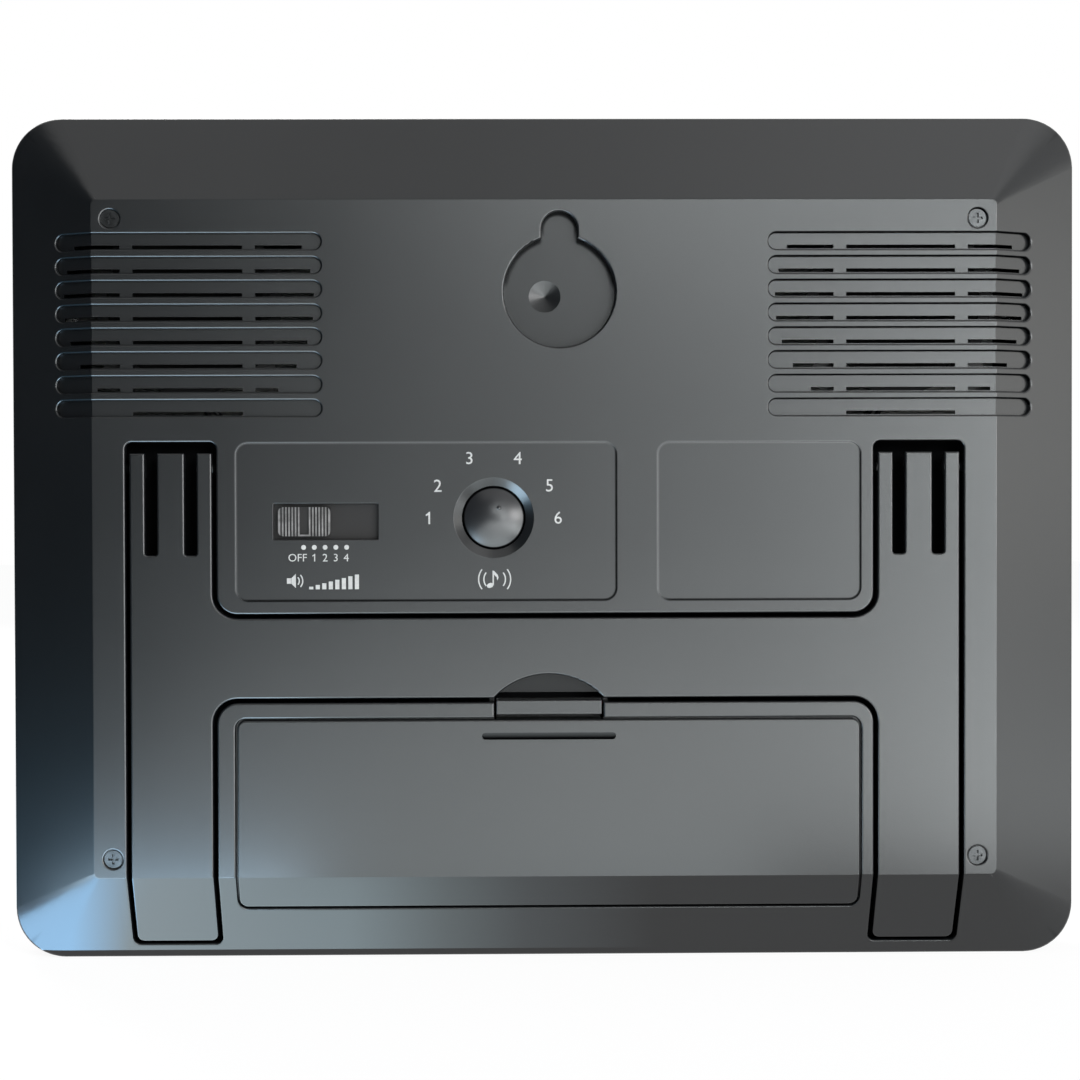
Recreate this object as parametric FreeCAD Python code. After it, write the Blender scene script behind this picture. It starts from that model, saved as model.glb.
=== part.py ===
import FreeCAD, Part
import math
import os

# Wall and table clock with a large liquid crystal display, two rear speakers,
# a fold-out stand and a bay for three C cells.  Millimetres, +Z up.
# The origin is on the bottom edge, in the middle of the width and of the depth.
# The display looks along -Y and the rear face, with the stand, looks along +Y.

os.makedirs("parts", exist_ok=True)
V = FreeCAD.Vector

# ---------------------------------------------------------------- case
case_width = 290.0
case_height = 229.0
case_depth = 42.0
rim_radius = 13.5          # corner of the outline, seen from the front
slope_run = 23.6           # width of the sloping border round the rear plateau
slope_drop = 14.0          # how far that border falls towards the rim
plateau_radius = 1.5
rear_side = 8.0            # straight side of the rear cover
wall = 2.4
inner_wall = 1.6           # walls of channels, pockets and bosses
rim_round = 1.0
plateau_round = 0.6
edge_round = 0.3           # broken edges of small loose pieces
rear_round = 0.5           # softened edges of grooves, pockets, stand and door
lip_height = 3.0           # tongue of the rear cover inside the bezel
lip_thickness = 1.1
case_fit = 0.1

y_rear = case_depth / 2
y_front = -y_rear
y_slope = y_rear - slope_drop
y_split = y_slope - rear_side
y_inside = y_rear - wall
mid_z = case_height / 2
plateau_x = case_width / 2 - slope_run
plateau_z = case_height / 2 - slope_run
slope_rate = slope_drop / slope_run
slope_wall = wall * math.sqrt(1 + slope_rate ** 2)

# ---------------------------------------------------------------- screws
screw_inset = 5.1          # case screws, in from the edges of the plateau
screw_head_radius = 2.3
screw_head_gap = 0.25
screw_shank_radius = 1.4
screw_head_height = 1.9
screw_rim = 0.5            # upright edge of a countersunk head
cross_width = 0.7
cross_length = 2.8
cross_depth = 1.0
screw_sink = 0.5
screw_clearance = 0.1
screw_grip = 9.0           # thread length inside the bezel's posts
post_radius = 3.5
post_gap = 0.2
small_head_radius = 2.0
small_head_height = 1.2
small_shank_radius = 1.1
small_post_radius = 2.6
small_grip = 4.0
small_cross_length = 2.3
small_cross_width = 0.55
small_cross_depth = 0.5
small_tip_gap = 0.5        # thread's tip short of the bottom of its bore

# ---------------------------------------------------------------- speakers and vents
speaker_inset = 25.6       # speakers, in from the side edges of the plateau
speaker_drop = 27.1        # and down from its top edge
speaker_x = plateau_x - speaker_inset
speaker_z = mid_z + plateau_z - speaker_drop
speaker_radius = 25.0
speaker_depth = 18.0
speaker_flange = 1.2
flange_width = 1.5
speaker_seat = 2.0         # height of the seat ring above the rear wall
speaker_clearance = 0.3
cone_opening = 22.0
cone_depth = 9.5
cone_wall = 0.5
roll_width = 1.2           # rolled edge that carries the cone
dust_cap_height = 1.6
former_radius = 6.3
former_end = 13.0
voice_gap = 7.3
basket_waist = 14.5
basket_wall = 0.9
magnet_radius = 14.0
magnet_height = 7.0
pole_gap = 0.4
yoke = 1.5                 # steel left behind the gap of the voice coil
window_half = 5.0
clamp_head_radius = 4.2    # washer heads that hold a speaker's flange
clamp_grip = 2.5
clamp_bore_floor = 0.4     # solid left between a clamp screw's bore and the rear wall
vent_rows = 8
vent_rows_above = 2.5      # row pitches from the speaker's axis up to the top row
vent_pitch = 6.37
vent_height = 4.4
vent_length = 71.6
vent_depth = 1.5
slit_height = 1.0
slit_drop = 1.45           # slit's centre line below the groove's
grille_radius = 33.9
rib_width = 3.4
rib_offset = 16.4

# ---------------------------------------------------------------- wall hanger
hanger_x = -3.9
hanger_drop = 24.6         # circle's centre below the top edge of the plateau
hanger_z = mid_z + plateau_z - hanger_drop
hanger_radius = 15.0
notch_radius = 4.85
notch_rise = 16.7          # notch's centre above the circle's centre
hanger_depth = 5.2
hanger_undercut = 2.0      # room behind the notch's lip for a screw's head
hanger_lip = 2.2
gate_drop = 1.1            # moulding gate dimple, on the centre line
gate_z = hanger_z - gate_drop
gate_radius = 4.3
gate_depth = 1.2
gate_tip = 0.2

# ---------------------------------------------------------------- battery bay
bay_x = -0.8
door_width = 167.4
door_top = 65.8
door_bottom = 15.0
door_radius = 2.3
door_thickness = 2.3
door_gap = 0.5
door_seat_gap = 0.1
grip_length = 36.0
grip_height = 1.9
grip_depth = 0.9
grip_drop = 4.4            # groove's centre below the top of the door
grip_z = door_top - grip_drop
cell_radius = 13.1
cell_length = 50.0
cell_nub_radius = 3.2
cell_nub = 1.7
cell_round = 0.8
cell_count = 3
cell_drop = 15.5           # cells' axis below the top of the door
cell_z = door_top - cell_drop
cell_side_gap = 0.5
cell_front_gap = 0.3
cell_door_gap = 0.9
spring_length = 6.0
spring_wire = 1.0
spring_turns = 4
spring_base = 8.0
spring_tip = 5.0
spring_sink = 0.1          # first coil let into the plate it is welded to
contact_plate = 0.6
contact_inset = 2.0        # contact plates are this much smaller than the cells all round
bay_wall = 1.3
tab_half = 2.0             # half the width of a contact's solder tab
tab_reach = 4.0
tab_rise = 4.0             # tab above the floor of the bay
tab_inset = 6.0            # tab below the bay's upper wall
tab_gap = 0.3
tongue_x = 60.0
tongue_width = 10.0
tongue_reach = 2.8
tongue_thickness = 1.2
tongue_gap = 0.4

# ---------------------------------------------------------------- stand
arm_margin = 10.0          # arms, in from the side edges of the plateau
arm_land = 4.9             # casing left between an arm's inner edge and the door
arm_inner = door_width / 2 - bay_x + arm_land
arm_outer = plateau_x - arm_margin
stand_below_speakers = 40.7
stand_top = speaker_z - stand_below_speakers
stand_bottom = 4.8
bar_rise = 5.9             # crossbar above the door
bar_height = 21.5
bar_bottom = door_top + bar_rise
bar_top = bar_bottom + bar_height
stand_gap = 1.2
stand_top_gap = 3.0
stand_foot_gap = 0.9
stand_plate = 2.6
stand_rib = 1.6
stand_rib_depth = 5.0
stand_junction = 6.7
stand_corner = 1.9
channel_depth = 6.2
arm_strip = 0.184 * (arm_outer - arm_inner)
arm_slot = 0.15 * (arm_outer - arm_inner)
arm_slot_length = 27.4
arm_slot_bottom = stand_top - arm_slot_length
pin_radius = 1.5
pin_clearance = 0.06
pin_engage = 1.4
hinge_drop = 4.0           # hinge axis below the top of the arms
hinge_depth = 3.0          # hinge axis below the rear face
barrel_radius = 2.7
stop_height = 1.0          # stop under each arm's tongue
notch_chord = 29.6
notch_height = 6.4

# ---------------------------------------------------------------- rear panels
panel_step = 0.3
panel_radius = 3.2
panel_above_bar = 4.8
panel_above_stand = 2.7
panel_bottom = bar_top + panel_above_bar
panel_top = stand_top + panel_above_stand
panel_mid = (panel_bottom + panel_top) / 2
control_panel_left = arm_inner - 6.4
control_panel_right = -19.0
info_panel_left = -30.2
info_panel_right = -arm_inner + 4.7

# ---------------------------------------------------------------- battery latch
latch_width = 28.4
latch_gap = 0.5
latch_tab_rise = 5.25      # finger tab's top above the door
latch_tab_top = door_top + latch_tab_rise
latch_tab_height = 3.85
latch_tab_thickness = 2.1
latch_leg = 1.2
latch_depth = 10.0         # bottom of the spring's loop below the rear face
latch_root_gap = 0.15
latch_nib = 1.1
latch_catch_gap = 0.2      # catch below the underside of the stand's channel
latch_front_gap = 0.35     # finger tab to the edge of its opening

# ---------------------------------------------------------------- volume slider
slider_x = 58.95
slider_z = panel_mid + 0.05
slot_length = 28.1
slot_height = 9.8
cap_length = 14.0
cap_height = 7.8
cap_end_gap = 1.3
cap_proud = -0.1
cap_radius = 1.4
cap_grooves = 6            # on each side of the notch
cap_rib_pitch = 0.86
cap_rib_width = 0.42
cap_rib_depth = 0.5
cap_notch_width = 2.5      # finger notch across the middle of the cap
cap_notch_depth = 0.9
cap_notch_lip = 0.45       # wall left at the notch's lower end
apron_thickness = 1.0
apron_cover = 1.2
apron_gap = 0.2
slide_switch_length = 27.0
slide_switch_height = 8.0
slide_switch_depth = 4.9
lever_width = 3.0
lever_height = 4.0
lever_root = 1.6           # how far the lever reaches into its switch
lever_fit = 0.05
lever_room = 0.3
cheek_thickness = 1.2      # cheeks under the apron that take the lever
cheek_reach = 2.5

# ---------------------------------------------------------------- sound selector
knob_x = 13.9
knob_z = panel_mid + 0.95
knob_radius = 8.15
knob_gap = 0.45
knob_crown = 2.1
knob_sink = 0.1
ring_radius = 11.25
ring_depth = 1.8
knob_skirt_radius = 10.0
knob_skirt = 1.0
knob_skirt_gap = 0.4
knob_pip_radius = 0.75
knob_pip_offset = 2.95
knob_pip_sink = 0.45       # pip's centre below the dome
knob_pip_angle = 28.0      # from straight up, clockwise from behind
hub_radius = 4.2
shaft_radius = 3.0
shaft_flat = 1.0
rotary_radius = 7.5
rotary_height = 6.4
rotary_neck = 1.2
rotary_bore = 4.0
shaft_fit = 0.05

# ---------------------------------------------------------------- circuit boards
board = 1.6
control_board_left = 82.0
control_board_right = 3.0
control_board_height = 37.5
control_board_bottom = panel_mid + 0.1 - control_board_height / 2
control_board_top = control_board_bottom + control_board_height
control_board_depth = 11.5   # from the rear wall's inside
main_board_width = 160.0
main_board_height = 62.0
main_board_clear = 6.2     # main board above the top of the door
main_board_bottom = door_top + main_board_clear
main_board_top = main_board_bottom + main_board_height
main_board_rise = 2.4
board_screw_inset = 4.5

# ---------------------------------------------------------------- front
front_round = 5.0
face_border = 13.0
face_recess = 1.2
face_radius = 5.0
lens_thickness = 2.0
lens_border = 17.0         # lens, in from the sides of the casing
lens_top_border = 16.0
lens_half_width = case_width / 2 - lens_border
lens_bottom = 40.0
lens_top = case_height - lens_top_border
lens_radius = 3.0
lens_fit = 0.15
ledge = 1.6
window_border = 6.0
window_header = 25.0       # printed band above the window
window_bottom = lens_bottom + window_border
window_top = lens_top - window_header
lcd_margin = 2.5
lcd_thickness = 2.8
lcd_ledge = 3.5
guide_thickness = 1.8
stack_gap = 0.1
frame_wall = 1.6
frame_back = 1.0
ear_reach = 5.0
ear_inset = 14.0           # outer ears, in from the bottom and the top of the window
ear_heights = (window_bottom + ear_inset, (window_bottom + window_top) / 2,
               window_top - ear_inset)

# ---------------------------------------------------------------- front buttons
button_count = 7
button_pitch = 30.0
button_z = 26.5
button_length = 16.0
button_height = 7.0
button_radius = 2.0
button_round = 0.6
button_gap = 0.25
button_proud = 1.0
button_flange = 1.2
button_flange_height = 1.0
button_stem_radius = 2.0
button_stem = 1.0
button_travel = 0.8
button_pretravel_gap = 0.1
tact_side = 6.0
tact_height = 3.5
tact_plunger = 1.4
tact_plunger_radius = 1.7
button_board_half = case_width / 2 - 38.0
button_board_height = 13.5
button_board_screws_x = (button_board_half - 4.0, button_pitch / 2)

# ---------------------------------------------------------------- components
main_grip = 2.9
clock_chip = {"x": 10.0, "z": main_board_bottom + 32.0, "length": 14.0,
              "height": 20.0, "thickness": 2.4, "leads": 16, "pitch": 1.1}
sound_chip = {"x": -28.0, "z": main_board_bottom + 36.0, "length": 7.5,
              "height": 17.9, "thickness": 2.2, "leads": 14, "pitch": 1.27}
amplifier_chip = {"x": -main_board_width / 2 + 22.0, "z": main_board_bottom + 40.0,
                  "length": 4.0, "height": 9.8, "thickness": 1.6, "leads": 8, "pitch": 1.1}
chip_lift = 0.3
leg_reach = 1.6
leg_thickness = 0.2
capacitor_count = 3
capacitor_x = -main_board_width / 2 + 8.0
capacitor_pitch = 11.0
capacitor_z = main_board_bottom + 12.0
capacitor_radius = 4.0
capacitor_height = 10.0
crystal_radius = 1.5
crystal_length = 8.0
crystal_leg = 3.0
crystal_leg_offset = 0.7
crystal_x = 28.0
crystal_z = main_board_bottom + 28.0
socket_height = 5.0
socket_depth = 5.0
ribbon_width = 60.0
ribbon_thickness = 0.25
ribbon_lap = 4.0

# ---------------------------------------------------------------- leads
lead_radius = 0.7
lead_spacing = 2.4
lead_run = 5.0             # straight run out of a tag, a board or a socket
lead_slack = 1.0           # how far a loose lead strays from a straight line
lead_over_bay = 3.2        # battery leads above the wall of the bay
lead_sag = ((-60.0, -0.3), (-30.0, 0.4), (0.0, -0.4), (28.0, 0.3), (50.0, -0.6))
control_lead_shift = 8.0   # control board's leads start this far to the side of their socket
control_lead_count = 4
button_lead_count = 3
button_lead_x = -main_board_width / 2 - 18.0
terminal_reach = 19.0      # speaker's terminal tag, from its axis
terminal_half = 4.0
battery_socket = (main_board_width / 2 - 14.0, main_board_bottom + 4.5, 6.0)
speaker_socket = (main_board_width / 2 - 18.0, main_board_top - 5.0, 6.0)
control_socket = (20.0, main_board_top - 5.0, 12.0)
button_socket = (-main_board_width / 2 + 6.0, main_board_bottom + 26.0, 6.0)
big = 400.0                # longer than anything that is cut


# ================================================================ helpers
def box(x0, x1, y0, y1, z0, z1):
    corner = V(min(x0, x1), min(y0, y1), min(z0, z1))
    return Part.makeBox(abs(x1 - x0), abs(y1 - y0), abs(z1 - z0), corner)


def rod_y(x, z, radius, y0, y1):
    return Part.makeCylinder(radius, abs(y1 - y0), V(x, min(y0, y1), z), V(0, 1, 0))


def rod_x(y, z, radius, x0, x1):
    return Part.makeCylinder(radius, abs(x1 - x0), V(min(x0, x1), y, z), V(1, 0, 0))


def cone_y(x, z, radius0, radius1, y0, y1):
    return Part.makeCone(radius0, radius1, y1 - y0, V(x, y0, z), V(0, 1, 0))


def rounded_edges(x0, x1, z0, z1, radius, y):
    """Rectangle with round corners in the plane at y: arcs and lines in turn."""
    corners = ((x1, z0, -90), (x1, z1, 0), (x0, z1, 90), (x0, z0, 180))
    ends = []
    for cx, cz, start in corners:
        mx = cx - radius if cx == x1 else cx + radius
        mz = cz + radius if cz == z0 else cz - radius
        points = []
        for turn in (0, 45, 90):
            angle = math.radians(start + turn)
            points.append(V(mx + radius * math.cos(angle), y, mz + radius * math.sin(angle)))
        ends.append(points)
    edges = []
    for i, points in enumerate(ends):
        edges.append(Part.Arc(*points).toShape())
        following = ends[(i + 1) % len(ends)]
        edges.append(Part.LineSegment(points[2], following[0]).toShape())
    return edges


def frustum(low, high):
    """Solid between two rounded rectangles, with flat sides and conical corners."""
    faces = [Part.Face(Part.Wire(low)), Part.Face(Part.Wire(high))]
    for below, above in zip(low, high):
        if isinstance(below.Curve, Part.Line):
            start, end = [v.Point for v in below.Vertexes]
            corners = [start, end, above.Vertexes[1].Point, above.Vertexes[0].Point, start]
            faces.append(Part.Face(Part.makePolygon(corners)))
        else:
            faces.append(Part.makeRuledSurface(below, above))
    shell = Part.Shell(faces)
    shell.sewShape()
    solid = Part.Solid(shell)
    if solid.Volume < 0:
        solid.reverse()
    return solid


def slab(x0, x1, z0, z1, radius, y0, y1):
    """Plate with round corners, from y0 to y1."""
    outline = rounded_edges(min(x0, x1), max(x0, x1), z0, z1, radius, min(y0, y1))
    face = Part.Face(Part.Wire(outline))
    return face.extrude(V(0, abs(y1 - y0), 0))


def fuse(shapes):
    first = shapes[0]
    rest = shapes[1:]
    return first.fuse(rest).removeSplitter() if rest else first


def revolve_y(x, z, profile):
    """Solid of revolution about the Y line through (x, z); profile is (radius, y)."""
    points = [V(x + radius, y, z) for radius, y in profile]
    face = Part.Face(Part.makePolygon(points + points[:1]))
    return face.revolve(V(x, 0, z), V(0, 1, 0), 360)


def round_edges(shape, radius, wanted):
    chosen = [edge for edge in shape.Edges if wanted(edge)]
    return shape.makeFillet(radius, chosen)


def samples(edge):
    first, last = edge.ParameterRange
    return [edge.valueAt(first + (last - first) * share) for share in (0.03, 0.5, 0.97)]


def surface_y(x, z):
    """Height of the rear surface over a point, away from the conical corners."""
    over = max(0, abs(x) - plateau_x, abs(z - mid_z) - plateau_z)
    return y_rear - over * slope_rate


def on_rear_surface(edge, tolerance=0.04):
    return all(abs(p.y - surface_y(p.x, p.z)) < tolerance for p in samples(edge))


def is_feature_edge(edge):
    """Edges of grooves, channels and pockets where they break the rear surface."""
    def along_border(share_x, share_z):
        return all(abs(abs(p.x) - share_x) < plateau_round or
                   abs(abs(p.z - mid_z) - share_z) < plateau_round for p in samples(edge))

    rim = any(p.y < y_slope + rim_round for p in samples(edge))
    border = along_border(plateau_x, plateau_z)
    return on_rear_surface(edge) and not rim and not border


def envelope(sink=0.0):
    """Everything in front of the rear surface, moved in by sink."""
    x, z = case_width / 2, case_height / 2
    foot = rounded_edges(-x, x, mid_z - z, mid_z + z, rim_radius, y_slope)
    top = rounded_edges(-plateau_x, plateau_x, mid_z - plateau_z, mid_z + plateau_z,
                        plateau_radius, y_rear)
    hill = frustum(foot, top)
    block = slab(-x, x, 0, case_height, rim_radius, y_front - case_depth, y_slope)
    solid = block.fuse(hill).removeSplitter()
    solid.translate(V(0, -sink, 0))
    return solid


def under_surface(plan, top, bottom):
    """The part of a plan prism that lies between two depths below the rear surface."""
    return plan.common(envelope(top)).cut(envelope(bottom))


def cut_from_surface(plan, depth):
    """Pocket tool: the plan prism down to a depth below the rear surface."""
    return plan.cut(envelope(depth))


# ================================================================ shared places
screw_places = [(sx * (plateau_x - screw_inset), mid_z + sz * (plateau_z - screw_inset))
                for sx in (-1, 1) for sz in (-1, 1)]
speaker_places = [(-1, "right"), (1, "left")]

hinge_z = stand_top - hinge_drop
hinge_y = y_rear - hinge_depth
channel_inner = arm_inner - stand_gap
channel_outer = arm_outer + stand_gap

door_left = bay_x + door_width / 2
door_right = bay_x - door_width / 2
bay_length = cell_count * cell_length + spring_length + 2 * contact_plate
bay_left = bay_x + bay_length / 2
bay_right = bay_x - bay_length / 2
bay_low = cell_z - cell_radius - cell_side_gap
bay_high = cell_z + cell_radius + cell_side_gap
cell_y = y_rear - door_thickness - cell_door_gap - cell_radius
bay_floor = cell_y - cell_radius - cell_front_gap
tongue_depth = slope_wall + tongue_gap
tab_y = bay_floor + tab_rise
tab_z = bay_high - tab_inset

latch_bottom_y = y_rear - latch_depth
latch_root_z = door_top - latch_leg / 2
latch_hole_top = latch_tab_top + latch_front_gap
latch_hole_low = latch_root_z - latch_leg / 2 - latch_gap

slide_travel = slot_length - cap_length - 2 * cap_end_gap
cap_rest_x = slider_x + slide_travel / 2
apron_half = cap_length / 2 + slide_travel + cap_end_gap + apron_cover
apron_top = y_inside - apron_gap
apron_bottom = apron_top - apron_thickness

control_board_back = y_inside - control_board_depth
control_board_front = control_board_back - board
control_screws = [(x, z)
                  for x in (control_board_right + board_screw_inset,
                            control_board_left - board_screw_inset)
                  for z in (control_board_bottom + board_screw_inset,
                            control_board_top - board_screw_inset)]

rotary_top = control_board_back + rotary_height + rotary_neck
rotary_bore_floor = rotary_top - rotary_bore
shaft_end = y_inside - knob_skirt_gap

face_y = y_front + face_recess
lens_back = face_y + lens_thickness
ledge_back = lens_back + ledge
lcd_front = ledge_back + stack_gap
lcd_back = lcd_front + lcd_thickness
guide_front = lcd_back + stack_gap
guide_back = guide_front + guide_thickness
tray_front = guide_back + stack_gap
tray_back = tray_front + frame_back
window_x = lens_half_width - window_border
lcd_x = window_x + lcd_margin
lcd_bottom = window_bottom - lcd_margin
lcd_top = window_top + lcd_margin
tray_gap = 0.3
tray_x = lcd_x + tray_gap + frame_wall
tray_bottom = lcd_bottom - tray_gap - frame_wall
tray_top = lcd_top + tray_gap + frame_wall
ear_x = tray_x + ear_reach
face_back = face_y + wall
tray_ears = [(side * ear_x, z) for side in (-1, 1) for z in ear_heights]

main_board_front = tray_back + main_board_rise
main_board_back = main_board_front + board
main_screws = [(sx * (main_board_width / 2 - board_screw_inset), z)
               for sx in (-1, 1)
               for z in (main_board_bottom + board_screw_inset,
                         main_board_top - board_screw_inset)]

button_top = face_y - button_proud
flange_front = face_back + 0.1
flange_back = flange_front + button_flange_height
stem_back = flange_back + button_stem
plunger_front = stem_back + button_travel + button_pretravel_gap
tact_front = plunger_front + tact_plunger
button_board_front = tact_front + tact_height
button_board_back = button_board_front + board
button_places = [(button_count - 1) / 2 * button_pitch - i * button_pitch
                 for i in range(button_count)]
button_board_screws = [(side * x, button_z) for side in (-1, 1) for x in button_board_screws_x]
socket_places = [battery_socket, speaker_socket, control_socket, button_socket,
                 (-speaker_socket[0],) + speaker_socket[1:]]


# ================================================================ rear cover
def stand_plan(grow=0.0, y0=y_front, y1=y_rear + 1):
    """H-shaped plan of the stand, grown on every side for its channel."""
    top = stand_top + (grow if grow <= 0 else stand_top_gap + grow - stand_gap)
    bottom = stand_bottom - (grow if grow <= 0 else stand_foot_gap + grow - stand_gap)
    left = slab(arm_inner - grow, arm_outer + grow, bottom, top, stand_corner, y0, y1)
    right = left.mirror(V(0, 0, 0), V(1, 0, 0))
    reach = arm_inner - grow + stand_corner
    bar = box(-reach, reach, y0, y1, bar_bottom - grow, bar_top + grow)
    plan = left.fuse([right, bar]).removeSplitter()
    radius = stand_junction - grow

    def inside_corner(edge):
        p, q = edge.valueAt(edge.FirstParameter), edge.valueAt(edge.LastParameter)
        upright = abs(p.x - q.x) < 1e-6 and abs(p.z - q.z) < 1e-6
        at_arm = abs(abs(p.x) - (arm_inner - grow)) < 1e-3
        at_bar = min(abs(p.z - (bar_bottom - grow)), abs(p.z - (bar_top + grow))) < 1e-3
        return upright and at_arm and at_bar

    return round_edges(plan, radius, inside_corner)


def door_plan(grow=0.0, y0=y_front, y1=y_rear + 1):
    return slab(door_right - grow, door_left + grow, door_bottom - grow, door_top + grow,
                door_radius + grow, y0, y1)


def latch_hole():
    """Opening through the strip between the door and the stand's crossbar."""
    half = latch_width / 2 + latch_gap
    deep = latch_bottom_y - latch_leg - latch_gap
    hole = box(bay_x - half, bay_x + half, deep, y_rear + 1, door_top, latch_hole_top)
    root = box(bay_x - half, bay_x + half, deep, y_rear - door_thickness - door_seat_gap,
               latch_hole_low, latch_hole_top)
    return hole.fuse(root)


def hanger_opening(grow, y0, y1):
    """Keyhole outline: a circle with a round-topped notch above it."""
    top = hanger_z + notch_rise
    radius = notch_radius + grow
    circle = rod_y(hanger_x, hanger_z, hanger_radius + min(grow, 0), y0, y1)
    throat = box(hanger_x - radius, hanger_x + radius, y0, y1, hanger_z, top)
    return fuse([circle, throat, rod_y(hanger_x, top, radius, y0, y1)])


def vent_grooves():
    """Round-ended grooves over both speakers, following the fall of the border."""
    grooves = []
    for side, _ in speaker_places:
        centre = side * speaker_x
        for row in range(vent_rows):
            z = speaker_z + (vent_rows_above - row) * vent_pitch
            plan = slab(centre - vent_length / 2, centre + vent_length / 2,
                        z - vent_height / 2, z + vent_height / 2,
                        vent_height / 2 - 0.01, y_slope, y_rear + 1)
            grooves.append(cut_from_surface(plan, vent_depth))
    return grooves


def vent_slits():
    """Through slits along the lower edge of each groove, inside the grille circle."""
    slits = []
    for side, _ in speaker_places:
        centre = side * speaker_x
        for row in range(vent_rows):
            z = speaker_z + (vent_rows_above - row) * vent_pitch - slit_drop
            reach = math.sqrt(grille_radius ** 2 - (z - speaker_z) ** 2)
            inner = rib_offset - rib_width / 2
            outer = rib_offset + rib_width / 2
            spans = [(-min(inner, reach), min(inner, reach))]
            if reach > outer + slit_height:
                spans += [(-reach, -outer), (outer, reach)]
            for low, high in spans:
                slits.append(box(centre + low, centre + high, y_slope, y_rear,
                                 z - slit_height / 2, z + slit_height / 2))
    return slits


def cover_shell():
    """Hollow pan with the sloping border, before anything is added to it."""
    outer = envelope()
    outer = round_edges(outer, rim_round, lambda e: all(abs(p.y - y_slope) < 1e-3
                                                        for p in samples(e)))
    outer = round_edges(outer, plateau_round, lambda e: all(abs(p.y - y_rear) < 1e-3
                                                            for p in samples(e)))
    keep = box(-big, big, y_split, big, -big, big)
    outer = outer.common(keep)
    x, z = case_width / 2 - wall, case_height / 2 - wall
    inner_foot = y_rear - (slope_run - wall) * slope_rate - slope_wall
    shift = (slope_wall - wall) / slope_rate
    top_x, top_z = plateau_x - shift, plateau_z - shift
    foot = rounded_edges(-x, x, mid_z - z, mid_z + z, rim_radius - wall, inner_foot)
    top = rounded_edges(-top_x, top_x, mid_z - top_z, mid_z + top_z,
                        plateau_radius - shift, y_inside)
    hollow = frustum(foot, top)
    below = slab(-x, x, mid_z - z, mid_z + z, rim_radius - wall, y_split - 1, inner_foot)
    return outer, hollow.fuse(below).removeSplitter()


def cover_lip():
    """Tongue round the rear cover that locates it inside the bezel."""
    x, z = case_width / 2 - wall, case_height / 2 - wall
    radius = rim_radius - wall
    reach = case_fit + lip_thickness

    def ring(gap, y0, y1):
        outer = slab(-x + gap, x - gap, mid_z - z + gap, mid_z + z - gap, radius - gap, y0, y1)
        inner = slab(-x + reach, x - reach, mid_z - z + reach, mid_z + z - reach,
                     radius - reach, y0 - 1, y1 + 1)
        return outer.cut(inner)

    return ring(0, y_split, y_split + lip_height).fuse(
        ring(case_fit, y_split - lip_height, y_split))


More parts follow.
